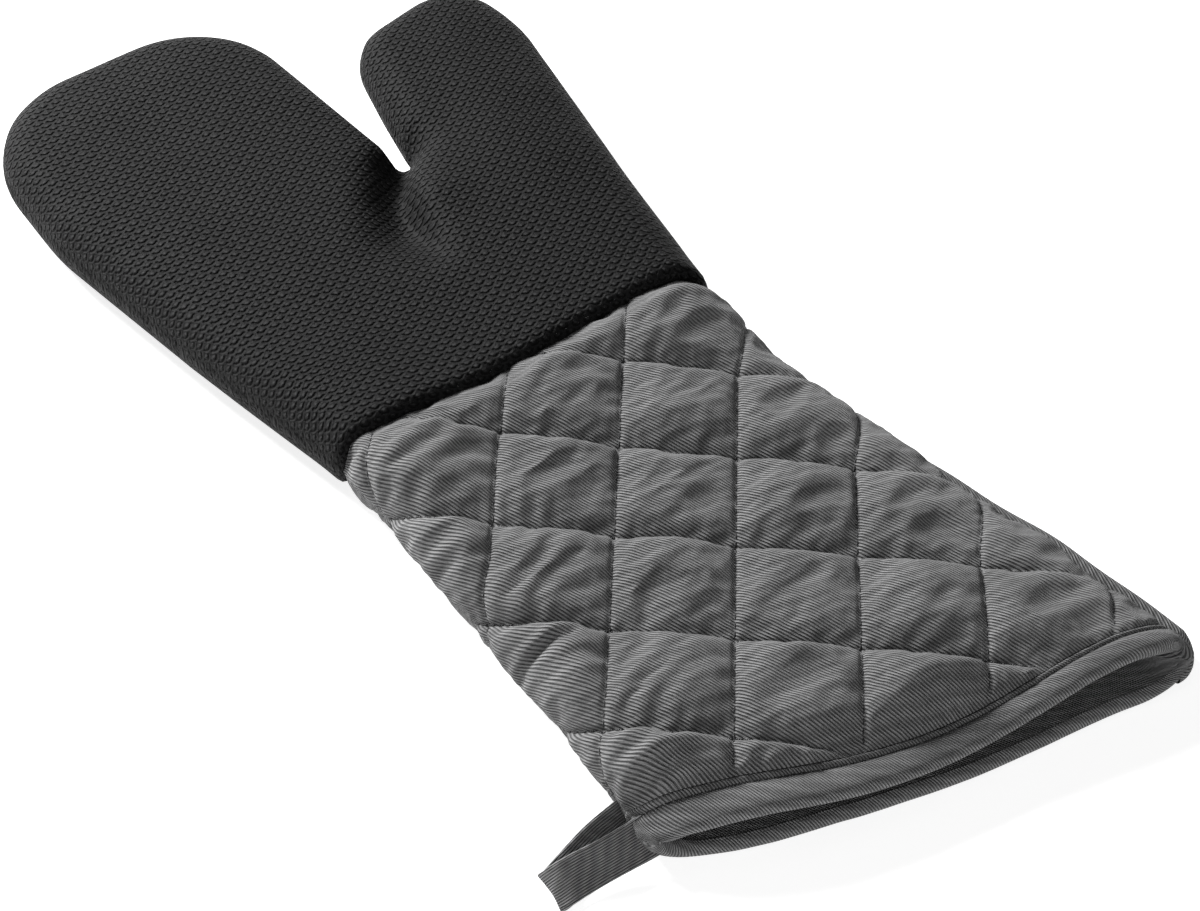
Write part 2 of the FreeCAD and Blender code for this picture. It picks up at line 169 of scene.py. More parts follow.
# points and outward directions along the rounded outline, moved in by inset
def pathAlong(corners, inset, step):
    places = np.array([(x, y) for x, y, _ in corners], float)
    along = np.diff(places, axis=0)
    along /= np.linalg.norm(along, axis=1)[:, None]
    inward = np.column_stack([-along[:, 1], along[:, 0]])
    points, outward = [], []

    def run(a, b, normal):
        count = max(int(np.linalg.norm(b - a) / step), 1)
        for k in range(count):
            points.append(a + (b - a) * k / count)
            outward.append(-normal)

    here = places[0] + inward[0] * inset
    for i in range(1, len(places) - 1):
        before, after = along[i - 1], along[i]
        turn = math.atan2(before[0] * after[1] - before[1] * after[0], before @ after)
        radius = corners[i][2] - inset if turn > 0 else corners[i][2] + inset
        lineA, lineB = places[i] + inward[i - 1] * inset, places[i] + inward[i] * inset
        cross = before[0] * after[1] - before[1] * after[0]
        gap = lineB - lineA
        corner = lineA + before * (gap[0] * after[1] - gap[1] * after[0]) / cross
        reach = radius * math.tan(abs(turn) / 2)
        side = 1 if turn > 0 else -1
        enter = corner - before * reach
        centre = enter + inward[i - 1] * side * radius
        run(here, enter, inward[i - 1])
        count = max(int(abs(turn) * max(radius, 0.5) / step), 3)
        start = math.atan2(*(enter - centre)[::-1])
        for k in range(count):
            angle = start + turn * k / count
            spoke = np.array([math.cos(angle), math.sin(angle)])
            points.append(centre + spoke * radius)
            outward.append(spoke * side)
        here = corner + after * reach
    run(here, places[-1] + inward[-1] * inset, inward[-1])
    return np.array(points), np.array(outward)


# distance from the outline, and the outward direction there
def fromSeam(points, corners):
    edge, outward = pathAlong(corners, 0, 0.3)
    tree = kdtree.KDTree(len(edge))
    for k, p in enumerate(edge):
        tree.insert((p[0], p[1], 0), k)
    tree.balance()
    found = [tree.find((p[0], p[1], 0)) for p in points]
    return np.array([f[2] for f in found]), outward[[f[1] for f in found]]


def handDomain(cut, inset=0.0):
    corners, spacing = cut["corners"], cut["spacing"]
    border, _ = pathAlong(corners, inset, spacing * 0.8)
    border = border[border[:, 1] > 0.4]
    right, left = border[0, 0], border[-1, 0]
    bottom = np.linspace(left, right, int((right - left) / spacing))
    loop = np.vstack([border, np.column_stack([bottom, np.zeros(len(bottom))])])
    rounding = cut["round"]
    rings = []
    for angle in np.radians((12, 24, 36, 48, 60, 72, 84)):
        ring, _ = pathAlong(corners, inset + rounding * (1 - math.cos(angle)), spacing * 0.9)
        rings.append(ring[ring[:, 1] > 0.6])
    xs = np.arange(-110, 115, spacing)
    ys = np.arange(spacing, 235, spacing * 0.87)
    grid = np.array([(x + (j % 2) * spacing / 2, y) for j, y in enumerate(ys) for x in xs])
    d, _ = fromSeam(grid, corners)
    inside = insideLoop(grid, loop) & (d > inset + rounding * 0.93)
    return loop, np.vstack(rings + [grid[inside]])


def insideLoop(points, loop):
    inside = np.zeros(len(points), bool)
    x, y = points[:, 0], points[:, 1]
    for a, b in zip(loop, np.roll(loop, -1, axis=0)):
        if a[1] == b[1]:
            continue
        crosses = (a[1] > y) != (b[1] > y)
        inside ^= crosses & (x < (b[0] - a[0]) * (y - a[1]) / (b[1] - a[1]) + a[0])
    return inside


# camera, floor and light

view = {"turn": -38, "rise": 49, "distance": 774.2, "lens": 72, "aim": (-3, -41, -1)}

turn, rise = math.radians(view["turn"]), math.radians(view["rise"])
aim = Vector(toFrame([view["aim"]])[0])
away = Vector((math.sin(turn) * math.cos(rise), -math.cos(turn) * math.cos(rise), math.sin(rise)))
lensData = bpy.data.cameras.new("camera")
lensData.lens = view["lens"]
lensData.sensor_width = 36
camera = bpy.data.objects.new("camera", lensData)
camera.location = aim + away * view["distance"] * mm
camera.rotation_euler = away.to_track_quat("Z", "Y").to_euler()
bpy.context.scene.collection.objects.link(camera)
bpy.context.scene.camera = camera

studio = {
    "floor": (0.72, 0.72, 0.72),
    "lamps": (      # name, azimuth, elevation, distance, size, watts
        ("key", -173, 31, 1.9, 0.55, 78),
        ("overhead", 120, 80, 1.7, 1.2, 2),
        ("front", -45, 24, 1.8, 1.2, 11),
    ),
    "sky": 0.1, "backdrop": 0.85, "floorGlow": 0.74,
}


def newMaterial(name):
    material = bpy.data.materials.new(name)
    material.use_nodes = True
    return material, material.node_tree.nodes["Principled BSDF"]


floorMesh = bpy.data.meshes.new("floor")
floorMesh.from_pydata([(-4, -4, 0), (4, -4, 0), (4, 4, 0), (-4, 4, 0)], [], [(0, 1, 2, 3)])
floor = bpy.data.objects.new("floor", floorMesh)
bpy.context.scene.collection.objects.link(floor)
floorPaint, shader = newMaterial("floor paint")
shader.inputs["Base Color"].default_value = (*studio["floor"], 1)
shader.inputs["Roughness"].default_value = 0.9
shader.inputs["Emission Color"].default_value = (1, 1, 1, 1)      # a light table: the shadows stay pale
shader.inputs["Emission Strength"].default_value = studio["floorGlow"]
floorMesh.materials.append(floorPaint)

for name, azimuth, elevation, distance, size, watts in studio["lamps"]:
    lampData = bpy.data.lights.new(name, "AREA")
    lampData.energy = watts
    lampData.size = size
    lamp = bpy.data.objects.new(name, lampData)
    a, e = math.radians(azimuth), math.radians(elevation)
    facing = Vector((math.sin(a) * math.cos(e), -math.cos(a) * math.cos(e), math.sin(e)))
    lamp.location = aim + facing * distance
    lamp.rotation_euler = facing.to_track_quat("Z", "Y").to_euler()
    bpy.context.scene.collection.objects.link(lamp)

world = bpy.data.worlds.new("studio")
world.use_nodes = True
world.node_tree.nodes["Background"].inputs["Color"].default_value = (1, 1, 1, 1)
bpy.context.scene.world = world
bpy.context.scene.view_settings.view_transform = "Standard"


# short way to lay nodes out in a tree
class Wiring:
    def __init__(self, tree):
        self.tree = tree

    def node(self, kind, **values):
        made = self.tree.nodes.new(kind)
        for name, value in values.items():
            setattr(made, name, value)
        return made

    def feed(self, socket, value):
        if isinstance(value, bpy.types.NodeSocket):
            self.tree.links.new(value, socket)
        else:
            socket.default_value = value

    def math(self, operation, *values, clamp=False):
        made = self.node("ShaderNodeMath", operation=operation, use_clamp=clamp)
        for socket, value in zip(made.inputs, values):
            self.feed(socket, value)
        return made.outputs[0]

    def ramp(self, value, low, high, start=0.0, end=1.0):
        made = self.node("ShaderNodeMapRange", interpolation_type="SMOOTHSTEP")
        for socket, item in zip(made.inputs, (value, low, high, start, end)):
            self.feed(socket, item)
        return made.outputs[0]

    def noise(self, vector, scale, detail=3.0, roughness=0.55):
        made = self.node("ShaderNodeTexNoise")
        self.feed(made.inputs["Vector"], vector)
        self.feed(made.inputs["Scale"], scale)
        made.inputs["Detail"].default_value = detail
        made.inputs["Roughness"].default_value = roughness
        return made.outputs["Fac"]

    def mix(self, share, first, second):
        made = self.node("ShaderNodeMix", data_type="RGBA")
        self.feed(made.inputs["Factor"], share)
        self.feed(made.inputs[6], first)
        self.feed(made.inputs[7], second)
        return made.outputs[2]

    def split(self, vector):
        made = self.node("ShaderNodeSeparateXYZ")
        self.feed(made.inputs[0], vector)
        return made.outputs[0], made.outputs[1]

    def turned(self, vector, degrees):
        made = self.node("ShaderNodeMapping")
        self.feed(made.inputs["Vector"], vector)
        made.inputs["Rotation"].default_value = (0, 0, math.radians(degrees))
        return made.outputs[0]


# seen behind the floor the sky is pale, but it lights little
sky = Wiring(world.node_tree)
seen = sky.node("ShaderNodeLightPath").outputs["Is Camera Ray"]
sky.feed(world.node_tree.nodes["Background"].inputs["Strength"],
         sky.math("MULTIPLY_ADD", seen, studio["backdrop"] - studio["sky"], studio["sky"]))
print("camera and light set")


# materials

def nodeGroup(name, inputs, outputs):
    tree = bpy.data.node_groups.new(name, "ShaderNodeTree")
    for label, kind, value in inputs:
        socket = tree.interface.new_socket(label, in_out="INPUT", socket_type=kind)
        if value is not None:
            socket.default_value = value
    for label, kind in outputs:
        tree.interface.new_socket(label, in_out="OUTPUT", socket_type=kind)
    wire = Wiring(tree)
    return tree, wire, wire.node("NodeGroupInput").outputs, wire.node("NodeGroupOutput").inputs


# staggered small bumps, each with a pit under it, and a wavy band between. Its second output marks a
# painted shadow under and beside each bump, its third a painted highlight on each bump's top. Lengths in
# metres
def scalyRubber():
    tree, w, given, put = nodeGroup(
        "scaly rubber",
        (("Vector", "NodeSocketVector", None), ("Width", "NodeSocketFloat", 0.00475),
         ("Row", "NodeSocketFloat", 0.0023), ("Turn", "NodeSocketFloat", 12.0)),
        (("Height", "NodeSocketFloat"), ("PitShadow", "NodeSocketFloat"), ("CrownHighlight", "NodeSocketFloat")),
    )
    turned = w.node("ShaderNodeVectorRotate", rotation_type="Z_AXIS")
    w.feed(turned.inputs["Vector"], given["Vector"])
    w.feed(turned.inputs["Angle"], w.math("RADIANS", given["Turn"]))
    x, y = w.split(turned.outputs[0])
    wander = w.math("SUBTRACT", w.noise(given["Vector"], 130, 2), 0.5)
    x = w.math("MULTIPLY_ADD", wander, 0.0016, x)
    y = w.math("MULTIPLY_ADD", w.math("SUBTRACT", w.noise(given["Vector"], 170, 2), 0.5), 0.0012, y)
    uneven = w.noise(given["Vector"], 900, 2)
    u = w.math("DIVIDE", x, given["Width"])
    v = w.math("DIVIDE", y, w.math("MULTIPLY", given["Row"], 2.0))
    height, pitShadow, crownHighlight = 0.5, 0.0, 0.0
    for half in (0, 0.5):      # two families of rows, each bump between two of the next row
        across = w.math("SUBTRACT", w.math("FRACT", w.math("ADD", u, half)), 0.5)
        up = w.math("SUBTRACT", w.math("FRACT", w.math("ADD", v, half)), 0.5)
        side = w.math("MULTIPLY", across, 4.5)
        rise = w.math("MULTIPLY_ADD", up, 5.6, -0.1)
        reach = w.math("SQRT", w.math("ADD", w.math("POWER", side, 2), w.math("POWER", rise, 2)))
        dome = w.ramp(reach, 1.15, 0.2)
        ring = w.math("MULTIPLY", w.ramp(reach, 0.75, 1.15), w.ramp(reach, 2.0, 1.4))
        hollow = w.math("MULTIPLY", ring, w.ramp(rise, 0.55, -0.45))     # only under and beside it
        height = w.math("MULTIPLY_ADD", dome, 0.5, height)
        height = w.math("MULTIPLY_ADD", hollow, -0.5, height)
        # the pit's dip in height is real relief; the pit mask also darkens the colour there as a painted
        # shadow
        pitShadow = w.math("MAXIMUM", hollow, pitShadow)
        # a painted highlight: the colour is made lighter on each bump's top
        crownHighlight = w.math("MAXIMUM", w.ramp(dome, 0.25, 0.85), crownHighlight)
    w.feed(put["Height"], w.math("MULTIPLY_ADD", uneven, 0.3, height))
    w.feed(put["PitShadow"], pitShadow)
    w.feed(put["CrownHighlight"], w.math("MULTIPLY", crownHighlight, w.ramp(uneven, 0.35, 0.6)))
    return tree


# fine slanted ribs with the threads that cross them, and a mask for painted shade in the grooves between
# the ribs
def twillWeave():
    tree, w, given, put = nodeGroup(
        "twill weave",
        (("Vector", "NodeSocketVector", None), ("Rib", "NodeSocketFloat", 0.001),
         ("Slant", "NodeSocketFloat", 23.0)),
        (("Height", "NodeSocketFloat"), ("GrooveShade", "NodeSocketFloat")),
    )
    wander = w.math("SUBTRACT", w.noise(given["Vector"], 90, 2), 0.5)
    x, y = w.split(given["Vector"])
    slope = w.math("TANGENT", w.math("RADIANS", given["Slant"]))
    along = w.math("MULTIPLY_ADD", y, slope, x)
    along = w.math("MULTIPLY_ADD", wander, 0.0006, along)
    rib = w.math("FRACT", w.math("DIVIDE", along, given["Rib"]))
    rise = w.math("SINE", w.math("MULTIPLY", rib, math.pi))
    cross = w.math("MULTIPLY_ADD", x, 1.9, y)
    turns = w.math("DIVIDE", cross, given["Rib"])
    thread = w.math("SINE", w.math("MULTIPLY", turns, 2 * math.pi * 1.1))
    height = w.math("MULTIPLY_ADD", thread, 0.1, rise)
    uneven = w.noise(given["Vector"], 700, 2)
    w.feed(put["Height"], height)
    # darker colour in the grooves between the ribs: painted shade
    groove = w.ramp(height, 0.95, 0.4)
    w.feed(put["GrooveShade"], w.math("MULTIPLY", groove, w.ramp(uneven, 0.25, 0.6, 0.7, 1.0)))
    return tree


# uneven dye, lint and rubbed places, for every cloth and rubber here
def clothTone():
    tree, w, given, put = nodeGroup(
        "cloth tone",
        (("Vector", "NodeSocketVector", None), ("Patch", "NodeSocketFloat", 60.0),
         ("Fleck", "NodeSocketFloat", 2600.0)),
        (("Shade", "NodeSocketFloat"), ("Lint", "NodeSocketFloat")),
    )
    patch = w.noise(given["Vector"], given["Patch"], 4)
    fleck = w.noise(given["Vector"], given["Fleck"], 2)
    shade = w.math("MULTIPLY_ADD", fleck, 0.5, w.math("MULTIPLY", patch, 0.5))
    w.feed(put["Shade"], shade)
    lint = w.noise(w.turned(given["Vector"], 31), w.math("MULTIPLY", given["Fleck"], 0.4), 1)
    w.feed(put["Lint"], w.ramp(lint, 0.7, 0.8))
    return tree


scaleGroup, twillGroup, toneGroup = scalyRubber(), twillWeave(), clothTone()


def placed(w, tree, vector, **values):
    made = w.node("ShaderNodeGroup", node_tree=tree)
    w.feed(made.inputs["Vector"], vector)
    for name, value in values.items():
        made.inputs[name].default_value = value
    return made.outputs


# a material that is laid out on the cloth's own coordinates
def clothMaterial(name):
    material, shader = newMaterial(name)
    w = Wiring(material.node_tree)
    return material, shader, w, w.node("ShaderNodeUVMap", uv_map="cloth").outputs[0]


def bumped(w, shader, height, distance):
    bump = w.node("ShaderNodeBump")
    bump.inputs["Distance"].default_value = distance
    bump.inputs["Strength"].default_value = 1.0
    w.feed(bump.inputs["Height"], height)
    w.feed(shader.inputs["Normal"], bump.outputs[0])


# pit colour: painted shadow under the bumps
neopreneLook = {
    "low": (0.0052, 0.0052, 0.0054, 1), "high": (0.011, 0.011, 0.0113, 1), "pitShadow": (0.001, 0.001, 0.001, 1),
    # crown colour: painted highlight on the bump tops
    "crownHighlight": (0.038, 0.038, 0.039, 1), "crownHighlightShare": 0.5, "relief": 0.0016,
    "specular": 0.14, "sheen": 0.012, "sheenRough": 0.4,
}


def neopreneMaterial():
    material, shader, w, place = clothMaterial("scaly neoprene")
    scales = placed(w, scaleGroup, place)
    tone = placed(w, toneGroup, place, Patch=38.0, Fleck=1500.0)
    look = neopreneLook
    base = w.mix(w.ramp(tone["Shade"], 0.35, 0.65), look["low"], look["high"])
    # painted highlight on the bump tops
    base = w.mix(w.math("MULTIPLY", scales["CrownHighlight"], look["crownHighlightShare"]), base, look["crownHighlight"])
    # painted shadow in the pits under the bumps
    base = w.mix(scales["PitShadow"], base, look["pitShadow"])
    w.feed(shader.inputs["Base Color"], base)
    w.feed(shader.inputs["Roughness"], w.ramp(tone["Shade"], 0.3, 0.7, 0.66, 0.8))
    shader.inputs["Specular IOR Level"].default_value = look["specular"]
    shader.inputs["Sheen Weight"].default_value = look["sheen"]
    shader.inputs["Sheen Roughness"].default_value = look["sheenRough"]
    fine = w.math("MULTIPLY_ADD", tone["Shade"], 0.12, scales["Height"])
    bumped(w, shader, fine, look["relief"])
    return material


# groove colour: painted shade between the ribs
twillLook = {
    "low": (0.187, 0.187, 0.188, 1), "high": (0.268, 0.268, 0.27, 1), "groove": (0.008, 0.008, 0.0082, 1),
    "lint": (0.3, 0.3, 0.3, 1), "relief": 0.00055,
}


def twillMaterial(name, look, rib=0.001, slant=23.0):
    material, shader, w, place = clothMaterial(name)
    weave = placed(w, twillGroup, place, Rib=rib, Slant=slant)
    tone = placed(w, toneGroup, place)
    base = w.mix(w.ramp(tone["Shade"], 0.35, 0.65), look["low"], look["high"])
    # painted shade in the grooves between the ribs
    base = w.mix(w.math("MULTIPLY", weave["GrooveShade"], 0.76), base, look["groove"])
    base = w.mix(w.math("MULTIPLY", tone["Lint"], 0.25), base, look["lint"])
    w.feed(shader.inputs["Base Color"], base)
    w.feed(shader.inputs["Roughness"], w.ramp(tone["Shade"], 0.3, 0.7, 0.82, 0.94))
    shader.inputs["Specular IOR Level"].default_value = 0.2
    shader.inputs["Sheen Weight"].default_value = 0.12
    shader.inputs["Sheen Roughness"].default_value = 0.5
    height = w.math("MULTIPLY_ADD", tone["Shade"], 0.5, weave["Height"])
    bumped(w, shader, height, look["relief"])
    return material


threadLook = {"dark": (0.018, 0.018, 0.019, 1), "pale": (0.05, 0.05, 0.052, 1), "relief": 0.0001}


def threadMaterial():
    material, shader, w, place = clothMaterial("sewing thread")
    x, y = w.split(place)
    ply = w.math("SINE", w.math("MULTIPLY", w.math("MULTIPLY_ADD", y, 0.8, x), 9000))
    tone = placed(w, toneGroup, place, Patch=300.0)
    w.feed(shader.inputs["Base Color"],
           w.mix(w.math("MULTIPLY_ADD", ply, 0.25, tone["Shade"]), threadLook["dark"], threadLook["pale"]))
    w.feed(shader.inputs["Roughness"], w.ramp(tone["Shade"], 0.3, 0.7, 0.5, 0.65))
    bumped(w, shader, ply, threadLook["relief"])
    return material


# groove colour: painted shade between the ribs
liningLook = {
    "low": (0.5, 0.47, 0.41, 1), "high": (0.66, 0.63, 0.56, 1), "groove": (0.36, 0.33, 0.28, 1),
    "lint": (0.75, 0.73, 0.68, 1), "relief": 0.0001,
}

neoprene = neopreneMaterial()
twill = twillMaterial("grey twill", twillLook)
thread = threadMaterial()
lining = twillMaterial("plain lining", liningLook, rib=0.0006, slant=0.0)
print("materials made")


# the hand: a neoprene panel on each side, rounded into the side seam

handCut.update(rollFrom=4.5, rollRadius=5.0, rollLength=4.5, groove=0.9)


# the ball of the thumb, and the deep crease that runs down from between thumb and fingers
def handForm(x, y):
    aside = (x - through(y, *handCut["crease"])) * handCut["creaseSquare"]
    wide = np.where(aside < 0, *handCut["creaseWide"])
    along = smooth(42, 80, y) * smooth(119, 107, y)
    crease = handCut["creaseDepth"] * along * np.exp(-(aside / wide) ** 2)
    # a shallow valley goes on from it, down and towards the little finger
    valleyX, valleyY = handCut["valley"]
    aside = (x - valleyX - handCut["valleyLean"] * (y - valleyY)) * handCut["valleySquare"]
    valley = handCut["valleyDepth"] * smooth(54, 84, y) * smooth(118, 104, y)
    valley = valley * np.exp(-(aside / handCut["valleyWide"]) ** 2)
    foot, ball = (high * np.exp(-((x - midX) / reachX) ** 2 - ((y - midY) / reachY) ** 2)
                  for midX, midY, reachX, reachY, high in (handCut["foot"], handCut["ball"]))
    return ball + foot - crease - valley + handCut["uneven"] * waves(x, y, 5, 60)


# the side seam lies lower on the thumb side, most at the wrist
def handLevel(x, y):
    return -2.6 * smooth(20, 92, x) - 2.4 * smooth(40, 76, x) * smooth(70, 0, y)


# the join of hand and cuff rises a little towards the fingers' side, and dips at both seams
def wristTilt(x, y):
    line = 5.5 * smooth(-15, -62, x) - 3.5 * smooth(-66, -76, x) - 10.5 * smooth(61, 77, x)
    return line * (1 - smooth(0, 60, np.abs(y)))


# cloth that would hang below the lying height spreads flat on it
def onSurface(z):
    soft = 0.8
    over = z - lying
    return lying + np.where(over > soft, over, soft * np.exp(np.clip(over / soft - 1, -8, 0)))


# where each point of the flat panel lies, and its place on the cloth
def handPanel(flat, cut, inset, below):
    d, outward = fromSeam(flat, cut["corners"])
    d = np.maximum(d - inset, 0)
    radius = cut["round"]
    share = np.clip(1 - d / radius, 0, 1)
    lift = np.sqrt(1 - share ** 2)
    cloth = flat + outward * (radius * (np.arcsin(share) - share))[:, None]
    x, y = flat[:, 0], flat[:, 1]
    height = cut["height"] - inset + cut["swell"] * smooth(0, 34, d)
    height = height + (0.4 if below else 1.0) * handForm(x, y)
    pull = cut["groove"] * (1 - smooth(0, 3.2, d))      # the sewn groove between the panels
    if inset > 0:
        # the layers inside stop short of the rolled edge
        height = height * (1 - 0.75 * smooth(12, 2, y))
    else:
        extra = -cut["rollLength"] * (1 - smooth(0, 16, y))
        cloth[:, 1] += extra
        y = y + extra
        turn = np.clip((cut["rollFrom"] - y) / cut["rollRadius"], 0, None)
        drop = cut["rollRadius"] * (1 - np.cos(turn))
        y = np.where(turn > 0, cut["rollFrom"] - cut["rollRadius"] * np.sin(turn), y)
        height = height - drop
        pull = pull + drop * 0.5 * share
    level = handLevel(x, y)
    x = x - outward[:, 0] * pull
    y = y - outward[:, 1] * pull + wristTilt(x, y)
    z = level + lift * (height - level)
    if below:
        z = onSurface(level - lift * (height + level))
    return np.column_stack([x, y, z]), cloth


# front and back panels as one bag, open at the wrist
def makeHand(inset, spacing):
    cut = dict(handCut, spacing=spacing)
    flat, faces = triangulate(*handDomain(cut, inset))
    d, _ = fromSeam(flat, cut["corners"])
    seam = d < inset + 0.2
    front, cloth = handPanel(flat, cut, inset, False)
    back, _ = handPanel(flat, cut, inset, True)
    front[seam, 2] = handLevel(flat[seam, 0], flat[seam, 1])
    shared = np.where(seam, np.arange(len(flat)), np.arange(len(flat)) + len(flat))
    points, uv = np.vstack([front, back]), np.vstack([cloth, cloth])
    joined = np.vstack([faces, shared[faces[:, ::-1]]])
    used, index = np.unique(joined, return_inverse=True)
    return points[used], index.reshape(-1, 3), uv[used]


# the thumb is its own piece, shaded as one surface with the rest
def splitHand(name, points, faces, uv, material, slot, mainNodes, thumbNodes):
    across = (points[faces].mean(axis=1)[:, :2] - thumbRoot) @ thumbWay
    thumb = (across > 0) & (points[faces][:, :, 0].mean(axis=1) > thumbRoot[0] - 1)
    whole = makeMesh("whole", points, faces)
    normals = np.array([v.normal[:] for v in whole.data.vertices])
    bpy.data.objects.remove(whole)
    made = []
    for label, keep, nodes in (("Main", ~thumb, mainNodes), ("Thumb", thumb, thumbNodes)):
        used, index = np.unique(faces[keep], return_inverse=True)
        piece = makeMesh(name + label, points[used], index.reshape(-1, 3), uv[used])
        piece.data.normals_split_custom_set_from_vertices(normals[used])
        finishPiece(piece, None, material, slot, *nodes)
        made.append(piece)
    return made


thumbRoot = np.array([27.0, 109.0])
thumbWay = np.array([math.sin(math.radians(14)), math.cos(math.radians(14))])


def bendHand(main, thumbPiece):
    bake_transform(main)
    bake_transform(thumbPiece)


parts = {}
points, faces, uv = makeHand(0, handCut["spacing"])
parts["hand"] = splitHand(
    "hand", points, faces, uv, neoprene, "neoprene",
    ("palm_shell_front", "palm_shell_back", "finger_shell_front", "finger_shell_back"),
    ("thumb_shell_front", "thumb_shell_back"))
for layer, inset in (("Wadding", 2.7), ("Lining", 5.8)):
    points, faces, uv = makeHand(inset, 4.0)
    low = layer.lower()
    parts[low] = splitHand(
        "hand" + layer, points, faces, uv, lining, low,
        (f"palm_{low}_front", f"palm_{low}_back", f"finger_{low}_front", f"finger_{low}_back"),
        (f"thumb_{low}_front", f"thumb_{low}_back"))
for main, thumbPiece in parts.values():
    bendHand(main, thumbPiece)
print("hand made")


# the cuff: two quilted twill panels

cuff = {
    "roundOut": (13.0, 22.0),       # how far in from each side the panel starts to round down
    "roundLength": (18.5, 27.5),    # and how much cloth that takes
    "underHand": 6.0,        # cloth sewn in under the neoprene
    "first": (-8.58, 58.43),     # one crossing of the quilting lines
    "falling": (27.08, -26.10),       # from one crossing to the next, down to the thumb side
    "rising": (-23.23, -27.13),       # and down to the little-finger side
    "steps": 18,             # mesh squares along the side of a quilted square
    "stitchUp": 9.6,         # from the hem's fold up to where the panel's cloth is sewn in
    "pillow": 7.8,
    "puffFront": 3.6, "puffBack": 2.0,
    "leftSide": ((-215, -82), (-164, -80), (-146, -79), (-134, -78), (-120, -76.8), (-107, -76),
                 (-92, -75.8), (-77, -75.4), (-64, -74.7), (-48, -73.4), (-33, -73.0), (-17, -72.6),
                 (-2, -73.2), (6, -71)),
    "rightSide": ((-215, 91.2), (-207, 90.5), (-180, 87.6), (-155, 85.0), (-142, 83.0), (-128, 80.9),
                  (-112, 78.8), (-100, 77.0), (-85, 75.4), (-70, 73.6), (-57, 71.6), (-40, 70.2),
                  (-22, 71.0), (-3, 73.2), (6, 71.6)),
    "frontLine": ((-90, -157), (-80, -164.5), (-70, -169.6), (-60, -174.2), (-50, -178.7), (-40, -183.3),
                  (-20, -190.9), (0, -196.2), (20, -199.6), (40, -202.0), (55, -203.8), (70, -206.2),
                  (84, -208.6), (95, -209.4)),
    "backLine": ((-90, -157.4), (-80, -164.8), (-69, -171), (-60, -176), (-50, -180.4), (-40, -184),
                 (-31, -187), (-20, -191), (-10, -194), (1, -197.4), (12, -200.4), (24, -203.0),
                 (36, -205.4), (49, -207.6), (61, -210.0), (74, -213.2), (86, -214.2), (95, -212.5)),
    "frontHeight": ((-84, 8.0), (-70, 13.0), (-50, 15.2), (-20, 13.4), (10, 12.7), (38, 14.8), (60, 17.4),
                    (77, 16.8), (87, 14.6), (94, 10.4)),
    "backHeight": ((-84, 8.5), (-72, 3.6), (-50, 3.2), (60, 3.2), (80, 3.6), (94, 8.0)),
    "wayDown": ((-215, 18.6), (-120, 18.6), (-75, 18.8), (-30, 21.4), (-12, 23.4), (-4, 23.8), (-0.5, 22.9),
                (1.5, 21.2), (4, 19.6), (8, 18.8)),
    "folds": 0.85, "dents": 0.26, "moreDents": 0.22, "pucker": 0.35, "hemRise": 0.9, "hollow": 0.9,
    "held": 0.45,           # how high the rising lines hang in the pillows, 0 to 1
}


# lowest line of the hem: how far down, and the height of the roll's middle
def hemFold(x, below):
    side = "back" if below else "front"
    return through(x, *cuff[side + "Line"]), through(x, *cuff[side + "Height"]) - seamZ


# the hem gets wider towards the little-finger side
def hemWide(x):
    return 1 + 0.38 * smooth(30, -55, x)


# height of the side seams, lower on the thumb side
def seamHeight(s, y):
    little = through(y, (-215, 8.0), (-160, 9.6), (-60, 12.6), (0, 13.0))
    thumbSide = through(y, (-215, 9.2), (-120, 8.0), (-40, 8.0), (0, 8.4))
    return little + (thumbSide - little) * smooth(-40, 40, s) - seamZ


# little-finger side and thumb side, out from the axis
def cuffSides(y):
    return through(y, *cuff["leftSide"]), through(y, *cuff["rightSide"])


# a point of the cuff's flat cloth, laid round the mitt, and how square to the top it is
def cuffPlace(s, y, below):
    left, right = cuffSides(y)
    (outLeft, outRight), (longLeft, longRight) = cuff["roundOut"], cuff["roundLength"]
    angleRight = np.clip((s - (right - outRight)) / longRight, 0, 1.15) * np.pi / 2
    angleLeft = np.clip(((left + outLeft) - s) / longLeft, 0, 1.15) * np.pi / 2
    x = np.clip(s, left + outLeft, right - outRight)
    x = x + outRight * np.sin(angleRight) - outLeft * np.sin(angleLeft)
    square = np.cos(np.maximum(angleRight, angleLeft))
    fold, foldZ = hemFold(x, below)
    up = y - fold
    level = seamHeight(s, y)
    if below:
        top = lying + 0.2 + 1.6 * smooth(-25, 6, y)
    else:
        top = through(y, *cuff["wayDown"]) + 1.4 * smooth(75, 30, up) - 2.2 * smooth(35, 85, x) - seamZ
        nearFold = smooth(26, 6, up)
        top = top + (foldZ + 1.6 - top) * nearFold * smooth(0.0, 0.6, square)
    z = level + (top - level) * square
    return np.column_stack([x, y + wristTilt(x, y), z]), square


# steps along the two families of quilting lines: whole numbers lie on lines
def latticePlace(s, y):
    a, b = np.array(cuff["falling"]), np.array(cuff["rising"])
    turn = np.linalg.inv(np.column_stack([a, b]))
    return (np.column_stack([s, y]) - np.array(cuff["first"])) @ turn.T


